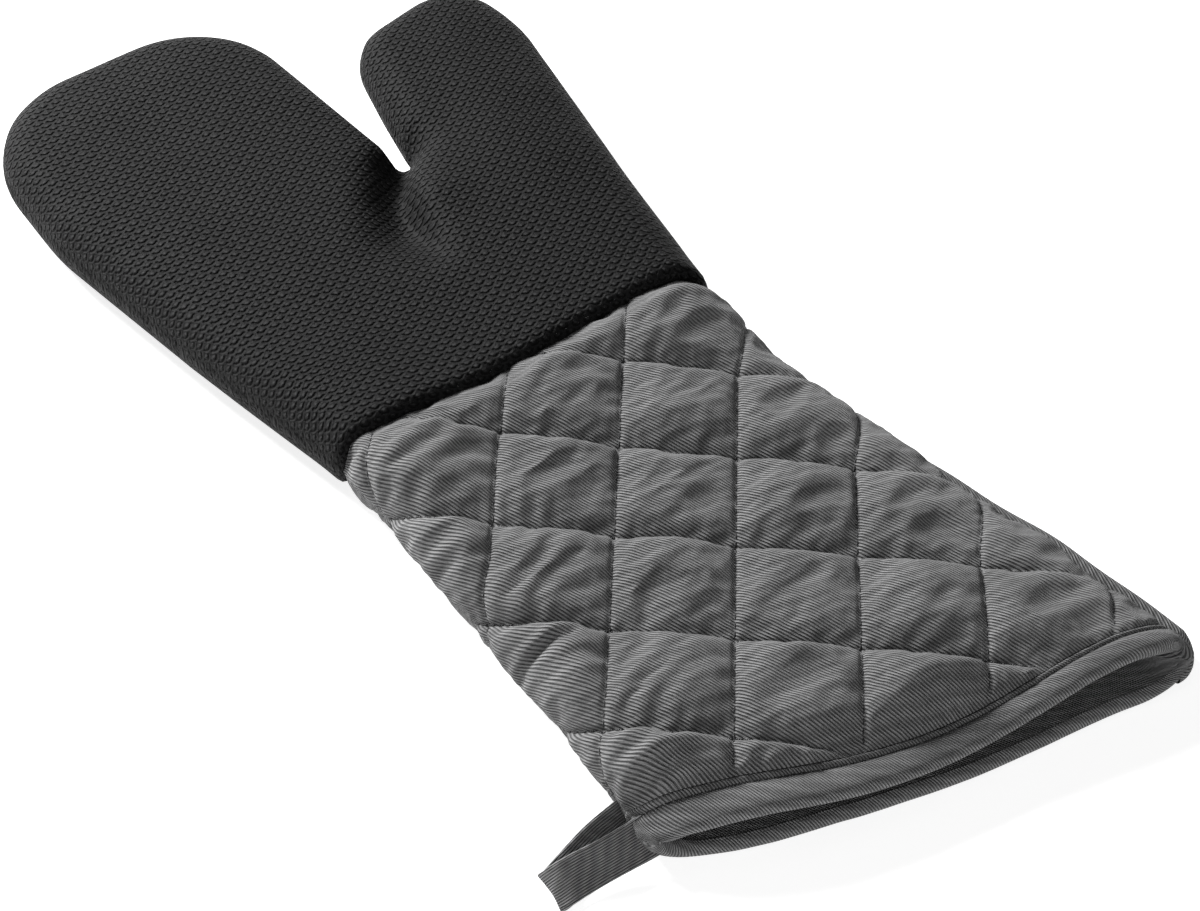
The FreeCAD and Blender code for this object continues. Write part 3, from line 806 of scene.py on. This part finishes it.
# the panel's flat cloth: a mesh that follows the quilting lines, cut to the panel's outline
def cuffCloth(below):
    step = np.linalg.norm(cuff["falling"]) / cuff["steps"]

    def edge(y, side):
        spare = cuff["roundLength"][side] - cuff["roundOut"][side]
        return cuffSides(y)[side] + (spare if side else -spare)

    top = cuff["underHand"]
    rightDown = hemFold(np.array([91.0]), below)[0][0] + cuff["stitchUp"]
    leftDown = hemFold(np.array([-80.0]), below)[0][0] + cuff["stitchUp"] * hemWide(-80)
    ys = np.linspace(top, rightDown, int((top - rightDown) / step))
    rightEdge = np.column_stack([edge(ys, True), ys])
    ys = np.linspace(leftDown, top, int((top - leftDown) / step))
    leftEdge = np.column_stack([edge(ys, False), ys])
    across = np.linspace(rightEdge[-1, 0], leftEdge[0, 0], int((rightEdge[-1, 0] - leftEdge[0, 0]) / step))
    hemX = cuffPlace(across, np.full(len(across), leftDown), below)[0][:, 0]
    hemY = hemFold(hemX, below)[0] + cuff["stitchUp"] * hemWide(hemX)
    hemEdge = np.column_stack([across, hemY])
    hemEdge[0], hemEdge[-1] = rightEdge[-1], leftEdge[0]
    topX = np.linspace(leftEdge[-1, 0], rightEdge[0, 0], int((rightEdge[0, 0] - leftEdge[-1, 0]) / step))
    topEdge = np.column_stack([topX, np.full(len(topX), top)])
    loop = np.vstack([leftEdge[:-1], topEdge[:-1], rightEdge[:-1], hemEdge[:-1]])[::-1]
    reach = int(260 / 36 * cuff["steps"])
    i, j = np.meshgrid(np.arange(-reach, reach), np.arange(-reach, reach))
    a, b = np.array(cuff["falling"]), np.array(cuff["rising"])
    grid = np.array(cuff["first"]) + (i.reshape(-1, 1) * a + j.reshape(-1, 1) * b) / cuff["steps"]
    near = (np.abs(grid[:, 0]) < 120) & (grid[:, 1] < top) & (grid[:, 1] > -215)
    grid = grid[near]
    grid = grid[insideLoop(grid, loop)]
    tree = kdtree.KDTree(len(loop))
    for k, p in enumerate(loop):
        tree.insert((p[0], p[1], 0), k)
    tree.balance()
    clear = np.array([tree.find((p[0], p[1], 0))[2] > step * 0.55 for p in grid])
    return triangulate(loop, grid[clear])


# pairs of triangles back into squares
def quads(piece):
    work = bmesh.new()
    work.from_mesh(piece.data)
    bmesh.ops.join_triangles(work, faces=work.faces, cmp_seam=False, cmp_sharp=False, cmp_uvs=False,
                             angle_face_threshold=math.radians(60), angle_shape_threshold=math.radians(50))
    work.to_mesh(piece.data)
    work.free()


# how far a place is above the line where the hem is sewn on
def aboveHem(x, y, below):
    return y - hemFold(x, below)[0] - cuff["stitchUp"] * hemWide(x)


# where the cloth has least spare to stand up: both sides, under the hand and at the hem
def calmness(s, y, above):
    calm = (1 - 0.5 * smooth(45, 85, s)) * (1 - 0.3 * smooth(-60, -88, s)) * smooth(-1, -12, y)
    return calm * (0.3 + 0.7 * smooth(0, 13, above))


# dents all over, and curved folds in the squares of the little-finger side, round each lowest corner
def squareFolds(s, y, steps):
    corner = np.array(cuff["first"]) + (np.floor(steps[:, :1]) + 1) * cuff["falling"] \
        + (np.floor(steps[:, 1:]) + 1) * cuff["rising"]
    around = np.hypot(s - corner[:, 0], y - corner[:, 1])
    middle = smooth(-52, -22, s)
    phase = around * 2 * np.pi / (8.4 + 2.6 * middle) + waves(s, y, 4, 50) * (1.2 + middle)
    folds = cuff["folds"] * (1 - 0.9 * middle) * np.sin(phase) * smooth(11, 25, around)
    folds = folds * (0.8 + 0.5 * waves(s, y, 6, 30)) - cuff["hollow"] * middle * np.exp(-(around / 12) ** 2)
    return (cuff["dents"] + cuff["moreDents"] * middle) * waves(s, y, 3, 15) + folds


def quiltedPanel(name, below):
    flat, faces = cuffCloth(below)
    s, y = flat[:, 0], flat[:, 1]
    laid, square = cuffPlace(s, y, below)
    steps = latticePlace(s, y)
    offFalling = np.abs(steps[:, 1] - np.round(steps[:, 1]))     # across the falling lines
    offRising = np.abs(steps[:, 0] - np.round(steps[:, 0]))
    half = 0.5 / cuff["steps"]
    onFalling, onRising = offFalling < half, offRising < half
    edges = borderOf(faces, len(flat))
    # stitches between crossings lie a little higher
    between = np.where(onFalling, offRising, offFalling) * 2
    pinned = onFalling | onRising | edges
    # each square is a pillow, fullest towards the hand and shallower between its sides
    downSquare, acrossSquare = steps[:, 1] % 1, steps[:, 0] % 1
    ridge = (1 - np.exp(-downSquare / 0.05)) * np.cos(np.pi / 2 * downSquare ** 2.0)
    ridge = np.where(onFalling, 0, ridge)
    puff = ridge * (cuff["held"] + (1 - cuff["held"]) * np.sin(np.pi * acrossSquare) ** 0.7)
    above = aboveHem(laid[:, 0], y, below)
    calm = calmness(s, y, above)
    fullness = cuff["pillow"] * (1 + 0.2 * waves(s, y, 8, 60)) * calm
    rise = 0.9 * between ** 1.5 * (1 - ridge) + cuff["held"] * fullness * ridge + 0.25 * waves(s, y, 11, 9)
    free = fullness * puff + squareFolds(s, y, steps) * np.sqrt(puff)
    lift = np.where(pinned, np.where(edges, 0, rise), free)
    lift = (lift + cuff["hemRise"] * smooth(12, 0, above)) * (0.35 if below else 1)
    lift = lift * (0.45 + 0.55 * np.clip(square, 0, 1))
    start = laid.copy()
    start[:, 0] += np.sqrt(1 - np.clip(square, 0, 1) ** 2) * np.sign(s) * lift
    start[:, 2] += (-1 if below else 1) * lift * square
    piece = makeMesh(name, start, faces[:, ::-1] if below else faces, flat)
    inflate(piece, start, pinned, below, calm)
    quads(piece)
    return piece


# points on the open edge of a mesh of triangles
def borderOf(faces, count):
    pairs = np.sort(np.vstack([faces[:, [0, 1]], faces[:, [1, 2]], faces[:, [2, 0]]]), axis=1)
    seen, times = np.unique(pairs, axis=0, return_counts=True)
    mark = np.zeros(count, bool)
    mark[seen[times == 1].ravel()] = True
    return mark


quilting = {
    "pressure": 12.0, "frames": 26, "slack": 0.012, "moreSlack": 0.012, "along": 1.035,
    "cloth": {
        "quality": 6, "mass": 0.005, "tension_stiffness": 18, "compression_stiffness": 14,
        "shear_stiffness": 6, "bending_stiffness": 1.0, "tension_damping": 8, "compression_damping": 8,
        "air_damping": 2.5, "pin_stiffness": 2, "use_pressure": True,
    },
}


# air under the cloth while its stitching holds it down
def inflate(piece, start, pinned, below, calm):
    scene = bpy.context.scene
    piece.shape_key_add(name="laid")       # cut longer than it lies, and eased in while it is sewn
    longer = piece.shape_key_add(name="cut length")
    grown = start.copy()
    grown[:, 1] *= quilting["along"]
    longer.data.foreach_set("co", toFrame(grown).astype(np.float32).ravel())
    for frameNumber, value in ((1, 1.0), (10, 0.0)):
        longer.value = value
        longer.keyframe_insert("value", frame=frameNumber)
    holding = piece.vertex_groups.new(name="stitched")
    holding.add([int(i) for i in np.nonzero(pinned)[0]], 1.0, "REPLACE")
    loose = piece.vertex_groups.new(name="slack")      # more cloth to spare on the little-finger side
    for k, amount in enumerate(smooth(30, -70, start[:, 0])):
        loose.add([k], float(amount), "REPLACE")
    cloth = piece.modifiers.new("cloth", "CLOTH")
    physics = cloth.settings
    for name, value in quilting["cloth"].items():
        setattr(physics, name, value)
    physics.uniform_pressure_force = quilting["pressure"] * (0.5 if below else 1)
    physics.vertex_group_mass = "stitched"
    physics.vertex_group_shrink = "slack"
    physics.shrink_min = -quilting["slack"]
    physics.shrink_max = -quilting["slack"] - quilting["moreSlack"]
    scene.gravity = (0, 0, 0)
    cloth.collision_settings.use_collision = False
    cloth.collision_settings.use_self_collision = False
    cloth.point_cache.frame_start = 1
    cloth.point_cache.frame_end = quilting["frames"]
    scene.frame_start, scene.frame_end = 1, quilting["frames"]
    for frameNumber in range(1, quilting["frames"] + 1):
        scene.frame_set(frameNumber)
    seen = piece.evaluated_get(bpy.context.evaluated_depsgraph_get())
    co = listed(seen.data.vertices, "co", 3)
    piece.modifiers.remove(cloth)
    piece.shape_key_clear()
    scene.frame_set(1)
    begin = toFrame(start)
    moved = co - begin
    size = np.linalg.norm(moved, axis=1)
    print(piece.name, "swelled", round(float(np.median(size)) / mm, 2), "mm")
    cap = (cuff["puffBack"] if below else cuff["puffFront"]) * mm * (0.3 + 0.7 * calm)
    moved *= (cap * np.tanh(size / cap) / np.maximum(size, 1e-9))[:, None]
    moved[pinned] = 0
    co = begin + moved
    co[:, 2] = (onSurface(co[:, 2] / mm - seamZ) + seamZ) * mm
    piece.data.vertices.foreach_set("co", co.astype(np.float32).ravel())
    piece.data.update()


# one subdivision, applied
def smoothed(piece, levels=1):
    rounding = piece.modifiers.new("rounding", "SUBSURF")
    rounding.levels = rounding.render_levels = levels
    seen = piece.evaluated_get(bpy.context.evaluated_depsgraph_get())
    mesh = bpy.data.meshes.new_from_object(seen)
    piece.modifiers.remove(rounding)
    old, piece.data = piece.data, mesh
    bpy.data.meshes.remove(old)


# a list of numbers that Blender holds, one row for each item
def listed(items, what, width, kind=np.float32):
    values = np.empty(len(items) * width, kind)
    items.foreach_get(what, values)
    return values.reshape(-1, width)


# where each point of a panel is on its flat cloth
def flatPlace(data):
    flat = np.zeros((len(data.vertices), 2))
    corner = listed(data.loops, "vertex_index", 1, np.int32)[:, 0]
    flat[corner] = listed(data.uv_layers["cloth"].data, "uv", 2) / mm
    return flat


# keeps the quilting lines sharp when the panel is rounded
def creaseLines(piece, depth):
    data = piece.data
    flat = flatPlace(data)
    steps = latticePlace(flat[:, 0], flat[:, 1])
    ends = listed(data.edges, "vertices", 2, np.int32)
    on = np.abs(steps - np.round(steps)) < 0.5 / cuff["steps"] * 0.5
    together = on[ends[:, 0]] & on[ends[:, 1]]
    near = np.abs(steps[ends[:, 0]] - steps[ends[:, 1]]) < 0.02
    sharp = np.zeros(len(ends), np.float32)
    sharp[together[:, 1] & near[:, 1]] = depth[0]
    sharp[together[:, 0] & near[:, 0]] = depth[1]
    layer = data.attributes.new("crease_edge", "FLOAT", "EDGE")
    layer.data.foreach_set("value", sharp)


sewing = {
    # for each family of lines: how far apart they are, how long a square's side is, and strength
    "falling": (35.0, 37.5, 0.5), "rising": (37.0, 35.7, 0.65),
    "every": 5.8, "hemEvery": 6.2, "reach": 3.0, "hemReach": 5.5, "deep": 0.8, "groove": 0.8,
    "gather": 0.55, "waver": 2.2,
}


# where the thread pulls the cloth down and gathers it: along the quilting and above the hem
def sewnIn(piece, below):
    data = piece.data
    flat = flatPlace(data)
    co = listed(data.vertices, "co", 3)
    normal = listed(data.vertices, "normal", 3)
    steps = latticePlace(flat[:, 0], flat[:, 1])
    off = np.abs(steps - np.round(steps))
    wander = waves(flat[:, 0], flat[:, 1], 17, 26) * sewing["waver"]
    shift = np.zeros(len(co))
    for family, across, way in (("falling", 1, 0), ("rising", 0, 1)):
        apart, side, size = sewing[family]
        away, along = off[:, across] * apart, steps[:, way] * side
        gather = np.sin(along * 2 * np.pi / sewing["every"] + wander)
        gather = gather * np.exp(-away / sewing["reach"]) * smooth(0.1, 1.2, away)
        groove = sewing["deep"] * size * np.exp(-(away / sewing["groove"]) ** 2)
        shift += cuff["pucker"] * sewing["gather"] * size * gather - groove
    x = co[:, 0] / mm - axisX
    above = aboveHem(x, flat[:, 1], below)
    gather = np.sin(flat[:, 0] * 2 * np.pi / sewing["hemEvery"] + 2.0 * wander)
    gather = gather * np.exp(-np.clip(above, 0, 60) / sewing["hemReach"])
    shift += cuff["pucker"] * gather * smooth(0, 1.5, above)
    co += normal * (shift * mm)[:, None]
    co[:, 2] = np.maximum(co[:, 2], 0.04 * mm)
    data.vertices.foreach_set("co", co.astype(np.float32).ravel())
    data.update()


panels = {}
for label, below in (("cuffFront", False), ("cuffBack", True)):
    piece = quiltedPanel(label, below)
    creaseLines(piece, (0.9, 0.55))
    smoothed(piece, 1 if below else 2)
    sewnIn(piece, below)
    side = "back" if below else "front"
    finishPiece(piece, "mitt", twill, "twill", f"cuff_shell_{side}")
    panels[side] = piece
print("cuff quilted")


# hem, facing and lining: rings that run round the mouth

hem = {
    "around": 300,
    "facing": 28,
    "stitchLine": 7.9,       # from the fold up to the stitches
    "liningIn": 4.6, "waddingIn": 2.4,
    "pucker": 0.28,
}


# round the mouth (0 to 1 front, 1 to 2 back), up from the fold, and in from the panels' faces
def ringPlace(around, up, inset):
    around, up = np.broadcast_arrays(np.asarray(around, float), np.asarray(up, float))
    out = np.empty(around.shape + (3,))
    facing = np.empty(around.shape + (3,))
    flats = np.empty(around.shape + (2,))
    for below in (False, True):
        here = (around >= 1) == below
        f = np.where(around < 1, around, 2 - around)[here] * 2 - 1
        rise = up[here]
        x = np.where(f < 0, f * 80, f * 91)
        for _ in range(3):
            y = hemFold(x, below)[0] + rise
            left, right = cuffSides(y)
            spare = np.array(cuff["roundLength"]) - np.array(cuff["roundOut"])
            s = np.where(f < 0, f * (spare[0] - left), f * (right + spare[1]))
            x = cuffPlace(s, y, below)[0][:, 0]
        place, square = cuffPlace(s, y, below)
        square = np.clip(square, 0, 1)
        outward = np.column_stack([np.sqrt(1 - square ** 2) * np.sign(f), np.zeros(len(f)),
                                   square * (-1 if below else 1)])
        out[here] = place - outward * np.broadcast_to(inset, around.shape)[here][:, None]
        facing[here] = outward
        flats[here] = np.column_stack([s, y])
    return out, facing, flats


# positions round the mouth that close on themselves
def evenly(count):
    half = count // 2
    front = np.arange(half) / half
    return np.concatenate([front, 1 + front])


# sweeps a section (up from the fold, out from the roll's middle) round the mouth
def mouthRing(name, section, material, slot, nodes, pucker=0.0, wider=False, cornerIn=0.0):
    count = hem["around"]
    around = evenly(count)
    rows, cloth, length = [], [], 0.0
    fold, facing, flats = ringPlace(around, 0.0, 0.0)
    middle = fold - facing * 1.6
    # the back is cut mirrored
    grain = np.where(around < 1, flats[:, 0], 2 * flats[count // 2, 0] - flats[:, 0])
    wave = 0.35 * waves(np.cos(np.pi * around) * 90, np.sin(np.pi * around) * 90, 21, 46)
    last = section[0]
    for up, out, follow in section:
        length += math.hypot(up - last[0], out - last[1])
        last = (up, out)
        up = up * (1 + (hemWide(fold[:, 0]) - 1) * min(up / 6, 1)) if wider else up
        onPanel, side, _ = ringPlace(around, up, 0.0)
        base = middle * (1 - follow) + (onPanel - side * 1.6) * follow
        base[:, 1] = fold[:, 1] + up
        nose = np.exp(-((up - 3) / 4) ** 2)
        bumps = pucker * np.sin(flats[:, 0] * 2 * np.pi / 3.1) * np.exp(-((last[0] - 8.7) / 0.9) ** 2)
        # the folded side seam stands inwards at the thumb-side corner
        inwards = cornerIn * np.exp(-((around - 1) / 0.085) ** 2) * smooth(1.5, 7, up)
        rows.append(base + side * (out + wave * nose * (out > 0) + bumps)[:, None])
        rows[-1][:, 0] -= inwards
        cloth.append(np.column_stack([grain * 1.08, np.full(count, -200 - length)]))
    points, uv = np.vstack(rows), np.vstack(cloth)
    piece = makeMesh(name, points, ringFaces(len(section), count), uv)
    mendWrap(piece, count)
    smoothed(piece)
    finishPiece(piece, "mitt", material, slot, *nodes)
    return piece


# the cloth's coordinates don't run backwards where a ring closes
def mendWrap(piece, count):
    layer = piece.data.uv_layers["cloth"].data
    for polygon in piece.data.polygons:
        us = [layer[k].uv[0] for k in polygon.loop_indices]
        if max(us) - min(us) > 0.02:
            for k in polygon.loop_indices:
                if layer[k].uv[0] < 0:
                    layer[k].uv[0] = max(us)


# section points round the fold itself
def nosePoints(radius, start, end, count):
    angles = np.radians(np.linspace(start, end, count))
    return [(radius + radius * math.cos(a), radius * math.sin(a), 0.0) for a in angles]


# up from the fold, out from the roll's middle, and how far it follows the panel instead of the roll
bandSection = [
    (11.2, 0.9, 1.0), (10.1, 1.5, 1.0), (9.7, 1.9, 1.0), (9.3, 2.65, 0.95), (8.9, 2.8, 0.9),
    (8.4, 2.65, 0.85), (8.0, 2.0, 0.75), (7.65, 2.0, 0.65), (7.1, 2.65, 0.5), (6.0, 3.2, 0.35),
    (4.6, 3.3, 0.15), *nosePoints(3.15, 98, 262, 9),
]
facingSection = [
    (2.2, -2.9, 0.0), (4.5, -2.55, 0.1), (8.0, -2.4, 0.6), (13.0, -2.2, 1.0), (20.0, -2.2, 1.0),
    (26.0, -2.3, 1.0), (hem["facing"], -2.5, 1.0), (hem["facing"] + 0.3, -3.3, 1.0),
]
band = mouthRing("hemBand", bandSection, twill, "twill", ("hem_band_front", "hem_band_back"),
                 hem["pucker"], wider=True)
facingCloth = mouthRing("hemFacing", facingSection, twill, "twill", ("hem_facing_front", "hem_facing_back"),
                        cornerIn=6.0)


# a loose tube inside the cuff, from the hem to the wrist
def sleeve(name, inset, start, material, slot, nodes):
    count, rows = 160, 26
    around = evenly(count)
    low, _, _ = ringPlace(around, start, inset)
    points, cloth = [], []
    for k in range(rows):
        share = k / (rows - 1)
        fold = hemFold(low[:, 0], False)[0]
        up = start + (4 - fold - start) * share
        place, side, flats = ringPlace(around, up, inset)
        ripple = 0.4 * waves(flats[:, 0], flats[:, 1], 31, 30)
        points.append(place - side * ripple[:, None])
        cloth.append(flats)
    piece = makeMesh(name, np.vstack(points), ringFaces(rows, count), np.vstack(cloth))
    mendWrap(piece, count)
    finishPiece(piece, "mitt", material, slot, *nodes)
    return piece


cuffWadding = sleeve("cuffWadding", hem["waddingIn"], 10, lining, "wadding",
                     ("cuff_wadding_front", "cuff_wadding_back"))
cuffLining = sleeve("cuffLining", hem["liningIn"], 24, lining, "lining",
                    ("cuff_lining_front", "cuff_lining_back"))
print("hem and lining made")


# stitching: one small thread for every stitch

stitch = {"pitch": 2.9, "long": 2.4, "wide": 0.62, "high": 0.42, "dip": 0.5}


# gathers the stitches of one piece of sewing
class Seam:
    def __init__(self):
        self.points, self.faces, self.cloth = [], [], []

    # stitches along a path of points, laid on the nearest cloth
    def run(self, path, surface, proud=0.12, size=1.0):
        path = np.asarray(path)
        steps = np.linalg.norm(np.diff(path, axis=0), axis=1)
        far = np.concatenate([[0], np.cumsum(steps)])
        middles = np.arange(stitch["pitch"] * 0.6, far[-1] - stitch["pitch"] * 0.4, stitch["pitch"])
        for m in middles:
            ends = [np.array([np.interp(m + e, far, path[:, k]) for k in range(3)]) for e in (-0.8, 0.8)]
            centre = (ends[0] + ends[1]) / 2
            found = surface.find_nearest(Vector(toFrame([centre])[0]))
            if found[0] is None or found[3] > 6 * mm:
                continue
            normal = np.array(found[1])
            here = np.array(found[0]) / mm - np.array([axisX, joinY, seamZ])
            ahead = ends[1] - ends[0]
            ahead -= normal * (ahead @ normal)
            length = np.linalg.norm(ahead)
            if length < 1e-6:
                continue
            ahead /= length
            self.one(here + normal * proud, ahead, normal, size)

    def one(self, centre, ahead, up, size):
        side = np.cross(up, ahead)
        base = len(self.points)
        rings = ((-0.5, 0.25, -1.0), (-0.42, 0.75, -0.35), (-0.2, 1.0, 0.0), (0.2, 1.0, 0.0),
                 (0.42, 0.75, -0.35), (0.5, 0.25, -1.0))      # along, thickness and dip
        for far, fat, sink in rings:
            for corner in range(6):
                a = math.pi / 3 * corner
                rise = math.sin(a) * fat * stitch["high"] / 2 * size + sink * stitch["dip"]
                self.points.append(centre + ahead * far * stitch["long"] * size
                                   + side * math.cos(a) * fat * stitch["wide"] / 2 * size + up * rise)
                self.cloth.append((far * stitch["long"], corner * 0.3))
        for r in range(5):
            for c in range(6):
                n = (c + 1) % 6
                a, b = base + r * 6, base + r * 6 + 6
                self.faces.append((a + c, a + n, b + n, b + c))

    def make(self, name, nodes):
        piece = makeMesh(name, self.points, self.faces, np.array(self.cloth))
        return finishPiece(piece, "mitt", thread, "thread", *nodes)


def surfaceOf(piece):
    return bvhtree.BVHTree.FromObject(piece, bpy.context.evaluated_depsgraph_get())


def sewQuilting(side, below, surface):
    quilt = Seam()
    first, fall, climb = (np.array(cuff[k]) for k in ("first", "falling", "rising"))
    for number in range(-8, 12):
        for origin, way in ((climb, fall), (fall, climb)):
            t = np.arange(-9, 11, 1 / 40)
            flat = first + origin * number + way * t[:, None]
            laid, square = cuffPlace(flat[:, 0], flat[:, 1], below)
            fold = hemFold(laid[:, 0], below)[0]
            keep = (square > 0.03) & (flat[:, 1] < -1)
            keep &= flat[:, 1] > fold + cuff["stitchUp"] * hemWide(laid[:, 0]) + 1.2
            keep &= np.abs(flat[:, 0]) < 105
            if keep.sum() > 20:
                quilt.run(laid[keep], surface)
    quilt.make("quiltStitches" + side.title(), (f"quilting_thread_{side}",))


def sewHem(side, below):
    around = np.linspace(0.02, 0.98, 240) + (1 if below else 0)
    hemSeam = Seam()
    foldX = ringPlace(around, 0.0, 0.0)[0][:, 0]
    track, facing, _ = ringPlace(around, hem["stitchLine"] * hemWide(foldX), 0.0)
    hemSeam.run(track - facing * 0.6, surfaceOf(band), proud=0.05)
    hemSeam.make("hemStitches" + side.title(), (f"hem_stitch_{side}",))


def sewWrist(side, below, surface):
    wristSeam = Seam()
    xs = np.linspace(-70, 70, 200)
    track, _ = cuffPlace(xs, np.full(200, -0.6), below)
    wristSeam.run(track, surface, proud=0.0)
    wristSeam.make("wristStitches" + side.title(), (f"wrist_stitch_{side}",))


for side, below in (("front", False), ("back", True)):
    surface = surfaceOf(panels[side])
    sewQuilting(side, below, surface)
    sewHem(side, below)
    sewWrist(side, below, surface)
print("stitching done")


# the edge of the back panel, rolled out along the thumb side

lip = {"from": -30, "to": -204, "out": 3.0, "high": 2.7, "bend": 8.0}


def makeSeamLip():
    y = np.linspace(lip["from"], lip["to"], 90)
    grow = 0.3 + 0.7 * smooth(40, 190, -y) ** 0.8
    ripple = 0.35 * np.sin(-y / 36 * 2 * math.pi) + 0.2 * np.sin(-y / 11)
    low = seamHeight(90, y) - 0.6 - 1.6 * smooth(170, 200, -y)
    out = cuffSides(y)[1] + 2.9 * grow + 0.1 + ripple * grow + 0.7 * smooth(170, 200, -y)
    side = np.column_stack([out, y, low])
    angle = np.radians(np.linspace(6, 100, 14))      # round the corner, into the back hem
    bend = lip["bend"]
    corner = np.column_stack([side[-1, 0] - bend + bend * np.cos(angle), side[-1, 1] - bend * np.sin(angle),
                              side[-1, 2] - 3.4 * np.sin(angle)])
    path = np.vstack([side, corner])
    grow = np.concatenate([grow, np.full(len(corner), grow[-1])])
    ahead = np.gradient(path, axis=0)
    ahead /= np.linalg.norm(ahead, axis=1)[:, None]
    outward = np.column_stack([-ahead[:, 1], ahead[:, 0], np.zeros(len(path))])
    rows, ring = len(path), 14
    points, cloth = [], []
    for k in range(rows):
        for c in range(ring):
            a = 2 * math.pi * c / ring
            points.append(path[k] + outward[k] * math.cos(a) * lip["out"] * grow[k]
                          + np.array([0, 0, math.sin(a) * lip["high"] * grow[k]]))
            cloth.append((c * 1.2 + 90, -2.2 * k))
    piece = makeMesh("sideSeamLip", points, ringFaces(rows, ring), np.array(cloth))
    smoothed(piece)
    finishPiece(piece, "mitt", twill, "twill", "side_seam_lip")


makeSeamLip()


# the hanging loop: a folded tape sewn in at the little-finger corner

loop = {
    # middle of the tape, and which way its width runs: upper leg, fold, lower leg
    # (x, y, z, tilt)
    "path": ((-70, -160.4, 7.9, 0.6), (-80, -159.8, 7.6, 0.8), (-91, -158.4, 6.6, 1.1),
             (-101, -156.8, 5.4, 0.8), (-107.4, -155.8, 4.0, 0.4), (-109.3, -155.4, 3.3, 0.28),
             (-109.3, -155.3, 2.7, 0.26), (-107.4, -155.2, 2.5, 0.28), (-99, -153.4, 3.3, 0.44),
             (-90, -151.6, 4.2, 0.6), (-81, -150.8, 5.0, 0.7), (-70, -150.4, 5.6, 0.75)),
    "wide": 13.0, "thick": 0.85, "edge": 1.5,
}


def makeLoop():
    given = np.array(loop["path"])
    t = np.linspace(0, len(given) - 1, 110)
    middle = np.column_stack([through(t, *zip(range(len(given)), given[:, k])) for k in range(3)])
    middle[:, 2] -= seamZ
    tilt = through(t, *zip(range(len(given)), given[:, 3]))
    ahead = np.gradient(middle, axis=0)
    ahead /= np.linalg.norm(ahead, axis=1)[:, None]
    wide = np.cross(np.array([0, 0, 1.0]), ahead)
    wide = np.where(np.linalg.norm(wide, axis=1)[:, None] < 0.2, np.array([0, 1.0, 0]), wide)
    wide[:, 2] = 0
    wide[wide[:, 1] < 0] *= -1
    wide /= np.linalg.norm(wide, axis=1)[:, None]
    for _ in range(12):
        wide[1:-1] = (wide[:-2] + wide[1:-1] * 2 + wide[2:]) / 4
    wide[:, 2] = tilt
    wide /= np.linalg.norm(wide, axis=1)[:, None]
    up = np.cross(ahead, wide)
    along = np.concatenate([[0], np.cumsum(np.linalg.norm(np.diff(middle, axis=0), axis=1))])
    half, thick = loop["wide"] / 2, loop["thick"] / 2
    section = []      # across the tape, and thickness: thicker where its edges are turned in
    for x in np.linspace(-1, 1, 15):
        edge = abs(x) * half > half - loop["edge"] * 1.6
        groove = math.exp(-((half - abs(x) * half - loop["edge"] * 1.4) / 0.35) ** 2)
        section.append((x * half, thick * (1.35 if edge else 1) - 0.16 * groove))
    ring = [(a, b) for a, b in section] + [(a, -b) for a, b in section[::-1]]
    points, cloth = [], []
    for k in range(len(middle)):
        for a, b in ring:
            points.append(middle[k] + wide[k] * a + up[k] * b)
            cloth.append((a * 1.3 - 150 - along[k] * 0.4, along[k] - 160))
    faces = ringFaces(len(middle), len(ring))
    n = len(ring)
    faces.append(tuple(range(n))[::-1])
    faces.append(tuple((len(middle) - 1) * n + c for c in range(n)))
    piece = makeMesh("hangingLoop", points, faces, np.array(cloth))
    smoothed(piece)
    finishPiece(piece, None, twill, "twill", "hanging_loop", "loop_tab")
    return piece


loopTape = makeLoop()
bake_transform(loopTape)
print("loop made")
